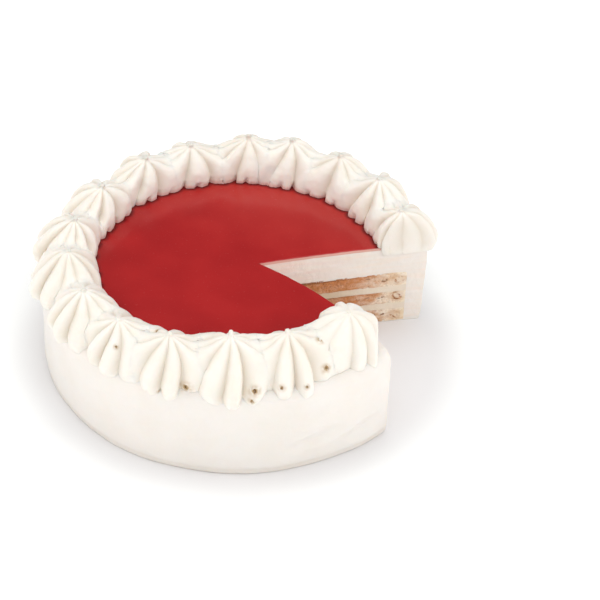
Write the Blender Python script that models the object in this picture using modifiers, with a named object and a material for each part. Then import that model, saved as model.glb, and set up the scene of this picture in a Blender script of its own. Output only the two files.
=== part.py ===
"""Round layered cream cake with a red glaze, a ring of piped rosettes and one wedge cut out.

Metres, +Z up. The origin is the centre of the round underside, on the surface the cake stands on.
The camera side of the cake is -Y, and the missing wedge opens towards +X.
"""
import math
import random

import bmesh
import bpy
from mathutils import Vector

MM = 0.001

# Overall body
BODY_RADIUS = 120 * MM
BODY_HEIGHT = 60 * MM
RIM_ROUNDING = 7 * MM
FOOT_ROUNDING = 1.5 * MM
SIDE_WOBBLE = 0.7 * MM
SIDE_WAVES = ((0.6, 2, 0.7), (0.4, 5, -1.1), (0.35, 9, 2.4))
SIDE_RING_HEIGHTS = (0.62, 0.36, 0.14)
RIM_STEPS = 5
BODY_STEPS = 72
INNER_STEPS = 36
CLEARANCE = 0.3 * MM
WOBBLE_START = 0.9

# Layers inside the cream coat, from the underside up
LAYER_RADIUS = 109 * MM
BASE_COAT = 1.0 * MM
SPONGE_THICKNESS = 8.9 * MM
FILLING_THICKNESS = 4.5 * MM

# Glaze let into the top cream
GLAZE_RADIUS = 95 * MM
GLAZE_THICKNESS = 2.0 * MM
GLAZE_EDGE_ROUNDING = 0.6 * MM

# The cut-out wedge, seen from above
WEDGE_APEX = (12.4 * MM, 4.1 * MM)
FAR_CUT_HEADING = math.radians(12.4)
FAR_CUT_BULGE = -1.7 * MM
NEAR_CUT_HEADING = math.radians(-48.2)
NEAR_CUT_BULGE = 7.7 * MM
CUT_REACH = 116 * MM
CUT_STEPS = 10
WEDGE_MARGIN = 45 * MM
CUTTER_OVERHANG = 20 * MM

# Piped rosettes, counted clockwise from the near side of the wedge
ROSETTE_TIP_RADIUS = 101 * MM
ROSETTE_INNER_REACH = 88 * MM
ROSETTE_OUTER_REACH = 125 * MM
ROSETTE_WIDTH = 54 * MM
ROSETTE_HEIGHT = 28.5 * MM
ROSETTE_SKIRT = 6 * MM
ROSETTE_GAP = 1.1 * CLEARANCE
FIRST_ANGLE = -52
ANGLE_STEP = -20
ANGLE_NUDGES = (2, -1, 0, 0, 3, 4, 3, 4, 2, -1, 0, 0, 4, 5, 6, 9)
TIP_NUDGES = (-3, -2, -3, 3, 6, 5, 2, -1, -3, -1, 1, 3, 4, 3, 4, 2)
HEIGHT_NUDGES = (2, 2, 2, 0, -1, 0, 0, -1, -2, -2, -3, 0, 1, 1, 1, -2)
INNER_NUDGES = (-7, -8, -8, -7, -5, -4, -3, 0, -1, 0, 0, 1, 0, 1, 0, 0)
FREE_SIDE = math.radians(14)
LOBES = 9
POINTS_PER_LOBE = 4
LOBE_PHASES = (0.0, 0.2, 0.5, 0.8)
LOBE_FULLNESS = (0.0, 0.74, 1.0, 0.74)
LOBE_WIDTH_SPREAD = 0.18
LOBE_REACH_RANGE = (0.95, 1.03)
GROOVE_DEPTH = 0.17
FOOT_SQUARENESS = 2.3
LEAN_CURVE = 1.3
TIP_DRIFT = 1.5 * MM
TWIST_RANGE = (math.radians(7), math.radians(18))
ROSETTE_LEVELS = (1.00, 0.95, 0.87, 0.76, 0.62, 0.45, 0.26, 0.07, 0.00, 0.00)
OUTER_PROFILE = (0.00, 0.06, 0.18, 0.34, 0.54, 0.75, 0.91, 1.00, 0.92, 0.00)
FULL_OUTER_PROFILE = (0.00, 0.10, 0.36, 0.60, 0.74, 0.85, 0.94, 1.00, 0.92, 0.00)
FIRST_FULL_ROSETTE = 7
INNER_PROFILE = (0.00, 0.06, 0.20, 0.40, 0.63, 0.83, 0.95, 1.00, 0.92, 0.00)
SEED = 11

# Mesh clean-up
MERGE_DISTANCE = 0.01 * MM
LEVEL_NORMAL = 0.9999
SHARP_ANGLE = math.radians(40)

FINISHES = {
    "icing": ((0.93, 0.86, 0.79), 0.55),
    "rosette": ((0.94, 0.88, 0.81), 0.50),
    "filling": ((0.95, 0.88, 0.80), 0.60),
    "sponge": ((0.83, 0.62, 0.38), 0.85),
    "glaze": ((0.42, 0.028, 0.030), 0.18),
}


def clear_scene():
    """Empty the scene of whatever it starts with."""
    for item in list(bpy.data.objects):
        bpy.data.objects.remove(item, do_unlink=True)


def new_collection(name):
    """Add a collection to the scene."""
    collection = bpy.data.collections.new(name)
    bpy.context.scene.collection.children.link(collection)
    return collection


def finish(name):
    """Return the named food finish as a Principled material."""
    material = bpy.data.materials.get(name)
    if material is None:
        colour, roughness = FINISHES[name]
        material = bpy.data.materials.new(name)
        material.use_nodes = True
        shader = material.node_tree.nodes["Principled BSDF"]
        shader.inputs["Base Color"].default_value = (*colour, 1.0)
        shader.inputs["Roughness"].default_value = roughness
        shader.inputs["Metallic"].default_value = 0.0
    return material


def add_object(name, mesh, collection, finish_name=None):
    """Link a mesh as an object, with its finish."""
    item = bpy.data.objects.new(name, mesh)
    collection.objects.link(item)
    if finish_name:
        mesh.materials.append(finish(finish_name))
    return item


def evaluated_copy(item, name, collection, finish_name=None):
    """Turn an object with modifiers, or a curve, into a plain mesh object that takes its place."""
    graph = bpy.context.evaluated_depsgraph_get()
    mesh = bpy.data.meshes.new_from_object(item.evaluated_get(graph))
    mesh.materials.clear()
    shape = bmesh.new()
    shape.from_mesh(mesh)
    bmesh.ops.remove_doubles(shape, verts=shape.verts, dist=MERGE_DISTANCE)
    bmesh.ops.recalc_face_normals(shape, faces=shape.faces)
    level = [face for face in shape.faces if abs(face.normal.z) > LEVEL_NORMAL]
    bmesh.ops.dissolve_faces(shape, faces=level)
    shape.to_mesh(mesh)
    shape.free()
    place = item.matrix_world.copy()
    bpy.data.objects.remove(item, do_unlink=True)
    copy = add_object(name, mesh, collection, finish_name)
    copy.matrix_world = place
    return copy


def turned(name, profile, steps, collection, finish_name=None):
    """Turn a profile of (radius, height) points, given from the top down, about the Z axis."""
    mesh = bpy.data.meshes.new(name + "_profile")
    points = [(radius, 0.0, height) for radius, height in profile]
    mesh.from_pydata(points, [(i, i + 1) for i in range(len(points) - 1)], [])
    line = add_object(name + "_profile", mesh, collection)
    screw = line.modifiers.new("turn", "SCREW")
    screw.axis = "Z"
    screw.steps = steps
    screw.render_steps = steps
    screw.use_merge_vertices = True
    screw.merge_threshold = MERGE_DISTANCE
    return evaluated_copy(line, name, collection, finish_name)


def extruded(name, outline, bottom, top, collection):
    """Extrude a closed outline of (x, y) points between two heights."""
    curve = bpy.data.curves.new(name, "CURVE")
    curve.dimensions = "2D"
    curve.fill_mode = "BOTH"
    curve.extrude = (top - bottom) / 2
    spline = curve.splines.new("POLY")
    spline.points.add(len(outline) - 1)
    for point, (x, y) in zip(spline.points, outline):
        point.co = (x, y, 0.0, 1.0)
    spline.use_cyclic_u = True
    item = bpy.data.objects.new(name, curve)
    collection.objects.link(item)
    item.location.z = (top + bottom) / 2
    bpy.context.view_layer.update()
    return evaluated_copy(item, name, collection)


def hide_cutter(item):
    """Mark an object as a cutter that is no part of the cake."""
    item.hide_render = True
    item.display_type = "WIRE"
    return item


def cut(item, cutter, solver="EXACT"):
    """Take the cutter's shape out of an object."""
    boolean = item.modifiers.new(cutter.name, "BOOLEAN")
    boolean.operation = "DIFFERENCE"
    boolean.solver = solver
    boolean.object = cutter


def smooth(item):
    """Shade an object's round faces smooth and keep its cut edges sharp."""
    item.data.shade_smooth()
    item.data.set_sharp_from_angle(angle=SHARP_ANGLE)


def body_profile(growth=0.0):
    """Outline of the cream coat from the top centre down to the bottom centre."""
    centre_radius = BODY_RADIUS - RIM_ROUNDING
    centre_height = BODY_HEIGHT - RIM_ROUNDING
    reach = RIM_ROUNDING + growth
    points = [(0.0, BODY_HEIGHT + growth)]
    for step in range(RIM_STEPS + 1):
        angle = math.pi / 2 * (1 - step / RIM_STEPS)
        points.append((centre_radius + reach * math.cos(angle), centre_height + reach * math.sin(angle)))
    side = BODY_RADIUS + growth
    points += [(side, BODY_HEIGHT * share) for share in SIDE_RING_HEIGHTS]
    points += [(side, FOOT_ROUNDING), (side - FOOT_ROUNDING, -growth), (0.0, -growth)]
    return points


def side_wobble(angle, height):
    """How far the hand-smoothed side stands out from a true round at one place."""
    climb = height / BODY_HEIGHT
    return SIDE_WOBBLE * sum(
        size * math.sin(count * angle + start + climb * count / 2) for size, count, start in SIDE_WAVES
    )


def wobble_side(item):
    """Move the outer wall of a turned body in and out as a palette knife leaves it."""
    for vertex in item.data.vertices:
        radius = math.hypot(vertex.co.x, vertex.co.y)
        share = min(max((radius / BODY_RADIUS - WOBBLE_START) / (1 - WOBBLE_START), 0.0), 1.0)
        if share > 0.0:
            angle = math.atan2(vertex.co.y, vertex.co.x)
            factor = 1 + share * side_wobble(angle, vertex.co.z) / radius
            vertex.co.x *= factor
            vertex.co.y *= factor


def arc_between(start, end, bulge, steps):
    """Points of a shallow arc from start to end that swells by bulge to the left of its heading."""
    along = end - start
    left = Vector((-along.y, along.x)).normalized()
    points = []
    for step in range(steps + 1):
        share = step / steps
        points.append(start + along * share + left * bulge * 4 * share * (1 - share))
    return points


def wedge_outline():
    """Outline of the missing wedge: out along the near cut, round outside, and back along the far cut."""
    apex = Vector(WEDGE_APEX)
    near_heading = Vector((math.cos(NEAR_CUT_HEADING), math.sin(NEAR_CUT_HEADING)))
    far_heading = Vector((math.cos(FAR_CUT_HEADING), math.sin(FAR_CUT_HEADING)))
    near_rim = apex + near_heading * CUT_REACH
    far_rim = apex + far_heading * CUT_REACH
    near = arc_between(apex, near_rim, NEAR_CUT_BULGE, CUT_STEPS)
    far = arc_between(far_rim, apex, FAR_CUT_BULGE, CUT_STEPS)
    near_tangent = (near[-1] - near[-2]).normalized()
    far_tangent = (far[0] - far[1]).normalized()
    outside = [near[-1] + near_tangent * WEDGE_MARGIN, far[0] + far_tangent * WEDGE_MARGIN]
    return near + outside + far[:-1]


def make_wedge(cutters):
    """Make the cutter that takes the wedge out of every layer."""
    high = BODY_HEIGHT + ROSETTE_HEIGHT + CUTTER_OVERHANG
    return hide_cutter(extruded("wedge_cutter", wedge_outline(), -CUTTER_OVERHANG, high, cutters))


def layer_heights():
    """Bottom and top of each inner layer, by node name."""
    heights = {}
    bottom = BASE_COAT + CLEARANCE
    order = ("sponge_bottom", "filling_lower", "sponge_middle", "filling_upper", "sponge_top")
    for name in order:
        thickness = SPONGE_THICKNESS if name.startswith("sponge") else FILLING_THICKNESS
        heights[name] = (bottom, bottom + thickness)
        bottom += thickness + CLEARANCE
    return heights


def cylinder_profile(radius, bottom, top, rounding=0.0):
    """Profile of a plain disc, with its upper edge rounded off if asked."""
    if rounding == 0.0:
        return [(0.0, top), (radius, top), (radius, bottom), (0.0, bottom)]
    return [
        (0.0, top), (radius - rounding, top), (radius, top - rounding), (radius, bottom), (0.0, bottom),
    ]


def make_layers(parts, wedge):
    """Make the sponges and the cream fillings between them."""
    for name, (bottom, top) in layer_heights().items():
        finish_name = name.split("_")[0]
        layer = turned(name, cylinder_profile(LAYER_RADIUS, bottom, top), INNER_STEPS, parts, finish_name)
        cut(layer, wedge)
        smooth(layer)


def make_icing(parts, cutters, wedge):
    """Make the cream coat, open inside for the layers and on top for the glaze."""
    icing = turned("icing", body_profile(), BODY_STEPS, parts, "icing")
    wobble_side(icing)
    stack_top = layer_heights()["sponge_top"][1] + CLEARANCE
    stack = cylinder_profile(LAYER_RADIUS + CLEARANCE, BASE_COAT, stack_top)
    recess_bottom = BODY_HEIGHT - GLAZE_THICKNESS - CLEARANCE
    recess = cylinder_profile(GLAZE_RADIUS + CLEARANCE, recess_bottom, BODY_HEIGHT + CUTTER_OVERHANG)
    cut(icing, wedge)
    cut(icing, hide_cutter(turned("stack_cutter", stack, INNER_STEPS, cutters)))
    cut(icing, hide_cutter(turned("recess_cutter", recess, INNER_STEPS, cutters)))
    smooth(icing)


def make_glaze(parts, wedge):
    """Make the red glaze that lies in the top cream."""
    bottom = BODY_HEIGHT - GLAZE_THICKNESS
    profile = cylinder_profile(GLAZE_RADIUS, bottom, BODY_HEIGHT, GLAZE_EDGE_ROUNDING)
    glaze = turned("glaze", profile, INNER_STEPS, parts, "glaze")
    cut(glaze, wedge)
    smooth(glaze)


def rosette_angle(index):
    """Direction of one rosette from the cake's centre, in radians."""
    return math.radians(FIRST_ANGLE + ANGLE_STEP * index + ANGLE_NUDGES[index])


def rosette_sides(index):
    """Angles from a rosette's own direction to the planes it shares with its neighbours."""
    half_gap = ROSETTE_GAP / 2 / (ROSETTE_INNER_REACH + min(INNER_NUDGES) * MM)
    low_side = -FREE_SIDE
    high_side = FREE_SIDE
    if index < len(ANGLE_NUDGES) - 1:
        low_side = (rosette_angle(index + 1) - rosette_angle(index)) / 2 + half_gap
    if index > 0:
        high_side = (rosette_angle(index - 1) - rosette_angle(index)) / 2 - half_gap
    return low_side, high_side


def shape_rosette(mesh, index, sides, draw):
    """Shape a round ball of rings into one piped rosette.

    The ball's poles become the tip and the middle of the underside. Its rings follow the profile, and
    its meridians gather into lobes with grooves between them. No point passes the two upright planes
    that the rosette shares with its neighbours.
    """
    angle = rosette_angle(index)
    outward = Vector((math.cos(angle), math.sin(angle), 0.0))
    sideways = Vector((-math.sin(angle), math.cos(angle), 0.0))
    inner_reach = ROSETTE_INNER_REACH + INNER_NUDGES[index] * MM
    half_length = (ROSETTE_OUTER_REACH - inner_reach) / 2
    foot_radius = ROSETTE_OUTER_REACH - half_length
    tip_radius = ROSETTE_TIP_RADIUS + TIP_NUDGES[index] * MM
    height = ROSETTE_HEIGHT + HEIGHT_NUDGES[index] * MM
    foot = outward * foot_radius + Vector((0.0, 0.0, BODY_HEIGHT))
    lean = outward * (tip_radius - foot_radius) + sideways * draw.uniform(-TIP_DRIFT, TIP_DRIFT)
    turn = draw.uniform(0, 2 * math.pi)
    twist = draw.uniform(*TWIST_RANGE)
    widths = [draw.uniform(1 - LOBE_WIDTH_SPREAD, 1 + LOBE_WIDTH_SPREAD) for _ in range(LOBES)]
    reaches = [draw.uniform(*LOBE_REACH_RANGE) for _ in range(LOBES)]
    share_of_turn = 2 * math.pi / sum(widths)
    starts = [sum(widths[:lobe]) * share_of_turn for lobe in range(LOBES)]
    meridians = LOBES * POINTS_PER_LOBE
    rings = len(ROSETTE_LEVELS) - 1
    outer_profile = FULL_OUTER_PROFILE if index >= FIRST_FULL_ROSETTE else OUTER_PROFILE
    for vertex in mesh.vertices:
        polar = math.acos(max(-1.0, min(1.0, vertex.co.z / vertex.co.length)))
        ring = round(polar / math.pi * rings)
        meridian = round(math.atan2(vertex.co.y, vertex.co.x) / (2 * math.pi) * meridians) % meridians
        lobe, point = divmod(meridian, POINTS_PER_LOBE)
        fullness = 1 - GROOVE_DEPTH * (1 - LOBE_FULLNESS[point])
        reach = 1 + (reaches[lobe] - 1) * LOBE_FULLNESS[point]
        rise = max(ROSETTE_LEVELS[ring], 0.0)
        bearing = starts[lobe] + LOBE_PHASES[point] * widths[lobe] * share_of_turn + turn + twist * rise
        across = abs(math.cos(bearing)) ** FOOT_SQUARENESS + abs(math.sin(bearing)) ** FOOT_SQUARENESS
        inner_share = max(-math.cos(bearing), 0.0)
        profile = (1 - inner_share) * outer_profile[ring] + inner_share * INNER_PROFILE[ring]
        radius = profile * fullness * reach / across ** (1 / FOOT_SQUARENESS)
        level = rise * height if rise > 0.0 else -ROSETTE_SKIRT
        place = foot + lean * rise ** LEAN_CURVE + Vector((0.0, 0.0, level))
        place += outward * math.cos(bearing) * radius * half_length
        place += sideways * math.sin(bearing) * radius * ROSETTE_WIDTH / 2
        turned_by = (math.atan2(place.y, place.x) - angle + math.pi) % (2 * math.pi) - math.pi
        direction = angle + max(sides[0], min(sides[1], turned_by))
        distance = math.hypot(place.x, place.y)
        vertex.co = (distance * math.cos(direction), distance * math.sin(direction), place.z)


def make_rosettes(parts, cutters, wedge):
    """Pipe the ring of rosettes on the rim, each one pressed lightly against its neighbours."""
    body = turned("body_cutter", body_profile(CLEARANCE), BODY_STEPS, cutters)
    wobble_side(body)
    hide_cutter(body)
    draw = random.Random(SEED)
    last = len(ANGLE_NUDGES) - 1
    for index in range(last + 1):
        ball = bmesh.new()
        bmesh.ops.create_uvsphere(
            ball, u_segments=LOBES * POINTS_PER_LOBE, v_segments=len(ROSETTE_LEVELS) - 1, radius=1.0,
        )
        mesh = bpy.data.meshes.new(f"rosette_{index + 1:02d}")
        ball.to_mesh(mesh)
        ball.free()
        shape_rosette(mesh, index, rosette_sides(index), draw)
        rosette = add_object(mesh.name, mesh, parts, "rosette")
        cut(rosette, body, "MANIFOLD")
        if index in (0, last):
            cut(rosette, wedge, "MANIFOLD")
        smooth(rosette)


def main():
    """Build the cake."""
    clear_scene()
    parts = new_collection("strawberry_cake")
    cutters = new_collection("cutters")
    wedge = make_wedge(cutters)
    make_icing(parts, cutters, wedge)
    make_layers(parts, wedge)
    make_glaze(parts, wedge)
    make_rosettes(parts, cutters, wedge)


main()
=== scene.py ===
"""Round strawberry layer cake with one wedge cut out, dressed and lit as in a studio.

Metres, +Z up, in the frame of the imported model: the origin is the centre of the round underside, the
photographed side is -Y, and the missing wedge opens towards +X.
"""
from __future__ import annotations

import logging
import math
import random
from collections.abc import Callable, Iterator, Sequence
from contextlib import contextmanager
from dataclasses import dataclass, field
from enum import Enum

import bmesh
import bpy
import numpy as np
from mathutils import Matrix, Vector, noise
from mathutils.bvhtree import BVHTree
from mathutils.kdtree import KDTree

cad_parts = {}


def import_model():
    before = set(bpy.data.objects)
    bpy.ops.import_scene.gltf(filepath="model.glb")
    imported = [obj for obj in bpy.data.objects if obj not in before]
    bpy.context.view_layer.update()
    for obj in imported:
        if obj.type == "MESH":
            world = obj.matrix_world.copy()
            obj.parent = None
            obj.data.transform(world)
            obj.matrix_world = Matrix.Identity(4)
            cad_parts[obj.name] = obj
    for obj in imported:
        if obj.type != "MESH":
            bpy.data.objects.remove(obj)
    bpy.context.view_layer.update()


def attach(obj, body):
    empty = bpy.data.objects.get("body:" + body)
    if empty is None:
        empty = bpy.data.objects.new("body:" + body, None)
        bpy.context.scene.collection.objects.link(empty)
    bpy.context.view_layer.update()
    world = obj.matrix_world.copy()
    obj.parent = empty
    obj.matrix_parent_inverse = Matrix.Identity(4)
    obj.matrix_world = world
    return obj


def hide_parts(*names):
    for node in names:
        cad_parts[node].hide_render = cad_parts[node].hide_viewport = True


MM = 0.001
PHOTO_WIDTH = 600
PHOTO_HEIGHT = 600

Colour = tuple[float, float, float]
Pair = tuple[float, float]
Triple = tuple[float, float, float]
Size = float | Sequence[float]
Relief = Callable[[np.ndarray], np.ndarray]
Hole = tuple[Vector, Vector, float]

TOUCH = 0.1 * MM
WARM_LIGHT: Colour = (1.0, 0.96, 0.93)
COOL_LIGHT: Colour = (0.94, 0.98, 1.0)

log = logging.getLogger("strawberry_cake")


def pick(piece: bpy.types.Object) -> None:
    """Select one object alone and make it active.

    Args:
        piece: The object to work on.
    """
    bpy.ops.object.select_all(action="DESELECT")
    piece.select_set(True)
    bpy.context.view_layer.objects.active = piece


@contextmanager
def editing(piece: bpy.types.Object) -> Iterator[None]:
    """Hold a piece open in edit mode, with nothing selected at first.

    Args:
        piece: The mesh object to edit.

    Returns:
        A context in which the edit-mode operators act on the piece.
    """
    pick(piece)
    bpy.ops.object.mode_set(mode="EDIT")
    bpy.ops.mesh.select_all(action="DESELECT")
    yield
    bpy.ops.object.mode_set(mode="OBJECT")


def choose(piece: bpy.types.Object, test: Callable[[bmesh.types.BMEdge], bool]) -> None:
    """Select the edges of a piece in edit mode that pass a test.

    Args:
        piece: The mesh object that is open in edit mode.
        test: Says for one edge whether it is picked.
    """
    bpy.ops.mesh.select_mode(type="EDGE")
    bpy.ops.mesh.select_all(action="DESELECT")
    shape = bmesh.from_edit_mesh(piece.data)
    for edge in shape.edges:
        edge.select = test(edge)
    shape.select_flush_mode()
    bmesh.update_edit_mesh(piece.data)


def named(name: str) -> bpy.types.Object:
    """Give the object that an operator has just added its name, and the same name to its mesh.

    Args:
        name: The piece's name.

    Returns:
        The active object.
    """
    piece = bpy.context.active_object
    piece.name = name
    piece.data.name = name
    return piece


def read_points(piece: bpy.types.Object) -> np.ndarray:
    """Read the places of a mesh's vertices.

    Args:
        piece: The mesh object.

    Returns:
        One row of x, y and z for each vertex.
    """
    flat = np.empty(len(piece.data.vertices) * 3, np.float32)
    piece.data.vertices.foreach_get("co", flat)
    return flat.reshape(-1, 3).astype(float)


def write_points(piece: bpy.types.Object, points: np.ndarray) -> None:
    """Move a mesh's vertices to rows of x, y and z."""
    piece.data.vertices.foreach_set("co", points.astype(np.float32).ravel())
    piece.data.update()


def paint(piece: bpy.types.Object, name: str, values: np.ndarray) -> None:
    """Store one number per vertex under a name for the piece's material to read."""
    layer = piece.data.attributes.get(name) or piece.data.attributes.new(name, "FLOAT", "POINT")
    layer.data.foreach_set("value", values.astype(np.float32))


def apply(piece: bpy.types.Object, kind: str, **settings: object) -> None:
    """Add one modifier to a piece and apply it.

    Args:
        piece: The mesh object.
        kind: The modifier's type.
        **settings: The modifier's values by name.
    """
    pick(piece)
    step = piece.modifiers.new(kind.lower(), kind)
    for name, value in settings.items():
        setattr(step, name, value)
    bpy.ops.object.modifier_apply(modifier=step.name)


def carve(piece: bpy.types.Object, cutter: bpy.types.Object, keep: bool = False) -> None:
    """Take the cutter's volume out of a piece.

    Args:
        piece: The closed mesh that is cut.
        cutter: The closed mesh that cuts.
        keep: Whether the cutter is needed again.
    """
    apply(piece, "BOOLEAN", operation="DIFFERENCE", solver="MANIFOLD", object=cutter)
    if not keep:
        bpy.data.objects.remove(cutter, do_unlink=True)


def shade(piece: bpy.types.Object, sharp: float = 50.0) -> None:
    """Shade a piece smooth, except where two faces meet at more than the sharp angle in degrees."""
    pick(piece)
    bpy.ops.object.shade_smooth_by_angle(angle=math.radians(sharp))


def radii(points: np.ndarray) -> np.ndarray:
    """Distance of each point from the cake's axis."""
    return np.hypot(points[:, 0], points[:, 1])


def bearings(points: np.ndarray, start: float) -> np.ndarray:
    """Angle of each point round the cake's axis, counted from a start and from -pi to pi."""
    return (np.arctan2(points[:, 1], points[:, 0]) - start + math.pi) % (2 * math.pi) - math.pi


def grain(points: np.ndarray, size: Size, seed: float) -> np.ndarray:
    """Soft noise from -1 to 1 at each point, with bumps of one size or a size along each axis."""
    return np.array([noise.noise(spot) for spot in (points / np.asarray(size) + seed).tolist()])


def bumps(points: np.ndarray, levels: Sequence[tuple[float, Size, float]]) -> np.ndarray:
    """Sum of soft noise at each point, each level with its height, its bumps' size and its seed."""
    return sum(height * grain(points, size, seed) for height, size, seed in levels)


def pores(points: np.ndarray, size: float, seed: float) -> np.ndarray:
    """1 in the middle of a crumb pore, and 0 from about half way to the next pore, a size away."""
    near = [noise.voronoi(spot)[0][0] for spot in (points / size + seed).tolist()]
    return ramp(np.array(near), 0.50, 0.12)


def ramp(value: np.ndarray | float, start: float, end: float) -> np.ndarray:
    """Rise softly from 0 at start to 1 at end, which may be lower than start."""
    share = np.clip((np.asarray(value, float) - start) / (end - start), 0.0, 1.0)
    return share * share * (3.0 - 2.0 * share)


def ends(stops: np.ndarray, reach: float = 7 * MM) -> np.ndarray:
    """Fade along a cut from 1 inside to 0 at both outer ends of the face."""
    return ramp(stops - stops[0], 0.0, reach) * ramp(stops[-1] - stops, 0.0, reach)


def curve_through(values: Sequence[float], place: np.ndarray) -> np.ndarray:
    """Read a smooth curve through evenly spaced values.

    Args:
        values: What the curve passes through.
        place: Where it is read, counted in values from 0.

    Returns:
        The curve's value at each place.
    """
    table = np.array([2 * values[0] - values[1], *values, 2 * values[-1] - values[-2]])
    last = len(values) - 2
    index = np.clip(np.floor(place).astype(int), 0, last)
    part = np.clip(place - index, 0.0, 1.0)
    before, start, end, after = (table[index + shift] for shift in range(4))
    bend = 2 * before - 5 * start + 4 * end - after
    twist = 3 * (start - end) + after - before
    return start + 0.5 * part * (end - before + part * (bend + part * twist))


class Wire:
    """A number or colour inside a material, written as ordinary sums."""

    def __init__(self, board: Board, socket: bpy.types.NodeSocket) -> None:
        """Wrap the output socket that carries the value on a material's workbench."""
        self.board = board
        self.socket = socket

    def _sum(self, operation: str, *values: object) -> Wire:
        """Add one Math node that takes the values in order."""
        return self.board.node("ShaderNodeMath", {"operation": operation}, dict(enumerate(values)))

    def __add__(self, other: Wire | float) -> Wire:
        """Add two values."""
        return self._sum("ADD", self, other)

    def __radd__(self, other: float) -> Wire:
        """Add a number in front."""
        return self._sum("ADD", other, self)

    def __sub__(self, other: Wire | float) -> Wire:
        """Take a value away."""
        return self._sum("SUBTRACT", self, other)

    def __rsub__(self, other: float) -> Wire:
        """Take this from a number."""
        return self._sum("SUBTRACT", other, self)

    def __mul__(self, other: Wire | float) -> Wire:
        """Multiply two values."""
        return self._sum("MULTIPLY", self, other)

    def __truediv__(self, other: Wire | float) -> Wire:
        """Divide two values."""
        return self._sum("DIVIDE", self, other)

    def __mod__(self, other: float) -> Wire:
        """Keep what is left over after whole steps."""
        return self._sum("FLOORED_MODULO", self, other)

    def hypot(self, other: Wire) -> Wire:
        """Length of the long side over this and another value."""
        return self._sum("SQRT", self * self + other * other)

    def rise(self, start: float, end: float) -> Wire:
        """Turn the value into a soft rise from 0 at start to 1 at end.

        Args:
            start: Where the rise begins.
            end: Where it is complete. It may be lower than start.

        Returns:
            A value from 0 to 1.
        """
        low, high, first, last = (start, end, 0.0, 1.0) if start < end else (end, start, 1.0, 0.0)
        settings = {"interpolation_type": "SMOOTHSTEP"}
        inputs = {"Value": self, "From Min": low, "From Max": high, "To Min": first, "To Max": last}
        return self.board.node("ShaderNodeMapRange", settings, inputs)


class Board:
    """The workbench on which one material's nodes are laid out."""

    def __init__(self, name: str) -> None:
        """Start a material with an empty Principled shader.

        Args:
            name: The material's name.
        """
        self.material = bpy.data.materials.new(name)
        self.material.use_nodes = True
        self.tree = self.material.node_tree
        self.shader = self.tree.nodes["Principled BSDF"]

    def node(
        self, kind: str, settings: dict[str, object], inputs: dict[str | int, object], output: str | int = 0
    ) -> Wire:
        """Add one node.

        Args:
            kind: The node's type.
            settings: Its properties by name, set before its sockets.
            inputs: Values or wires by socket name or number.
            output: Which output is wanted.

        Returns:
            That output.
        """
        node = self.tree.nodes.new(kind)
        for name, value in settings.items():
            setattr(node, name, value)
        for name, value in inputs.items():
            if isinstance(value, Wire):
                self.tree.links.new(value.socket, node.inputs[name])
            else:
                node.inputs[name].default_value = value
        return Wire(self, node.outputs[output])

    def place(self) -> Wire:
        """Read the point's own place on the cake, in metres."""
        return self.node("ShaderNodeTexCoord", {}, {}, "Object")

    def axes(self) -> tuple[Wire, Wire, Wire]:
        """Read x, y and z of the point's place, in metres."""
        parts = self.node("ShaderNodeSeparateXYZ", {}, {"Vector": self.place()}).socket.node
        return tuple(Wire(self, socket) for socket in parts.outputs)

    def stretched(self, size: Sequence[float]) -> Wire:
        """Read the point's place in steps whose length is given along each axis."""
        scale = tuple(1.0 / step for step in size)
        return self.node("ShaderNodeMapping", {}, {"Vector": self.place(), "Scale": scale})

    def noise(self, size: Size, detail: float = 2.0, rough: float = 0.5) -> Wire:
        """Add soft noise fixed to the cake.

        Args:
            size: Width of one patch, or its width along each axis.
            detail: How many finer levels are added.
            rough: How strong the finer levels are.

        Returns:
            A value round 0.5.
        """
        steps = (size, size, size) if isinstance(size, float) else size
        inputs = {"Vector": self.stretched(steps), "Scale": 1.0, "Detail": detail, "Roughness": rough}
        return self.node("ShaderNodeTexNoise", {}, inputs, "Fac")

    def cells(self, size: float) -> Wire:
        """Add round cells fixed to the cake, read as the distance from a cell's middle."""
        inputs = {"Vector": self.stretched((size, size, size)), "Scale": 1.0}
        return self.node("ShaderNodeTexVoronoi", {}, inputs, "Distance")

    def painted(self, name: str) -> Wire:
        """Read a number that was painted on the piece's vertices."""
        return self.node("ShaderNodeAttribute", {"attribute_name": name}, {}, "Fac")

    def mix(self, share: Wire | float, first: Wire | Colour, second: Wire | Colour) -> Wire:
        """Mix two colours.

        Args:
            share: How much of the second shows, from 0 to 1.
            first: A colour or a wire.
            second: A colour or a wire.

        Returns:
            The mixed colour.
        """
        ends = [end if isinstance(end, Wire) else (*end, 1.0) for end in (first, second)]
        settings = {"data_type": "RGBA", "clamp_factor": True}
        return self.node("ShaderNodeMix", settings, {0: share, 6: ends[0], 7: ends[1]}, 2)

    def relief(self, *levels: tuple[Wire, float]) -> Wire:
        """Turn heights into a bumpy surface direction.

        Args:
            *levels: Pairs of a height wire and its full height in metres.

        Returns:
            The surface direction for the shader.
        """
        result: Wire | None = None
        for height, depth in levels:
            inputs = {"Height": height, "Distance": depth, "Strength": 1.0}
            if result:
                inputs["Normal"] = result
            result = self.node("ShaderNodeBump", {}, inputs, "Normal")
        return result

    def finish(self, **sockets: object) -> bpy.types.Material:
        """Set or link the shader's own sockets.

        Args:
            **sockets: Values or wires by socket name, with an underscore for each space.

        Returns:
            The finished material.
        """
        for name, value in sockets.items():
            socket = self.shader.inputs[name.replace("_", " ")]
            if isinstance(value, Wire):
                self.tree.links.new(value.socket, socket)
            else:
                socket.default_value = value
        return self.material


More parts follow.
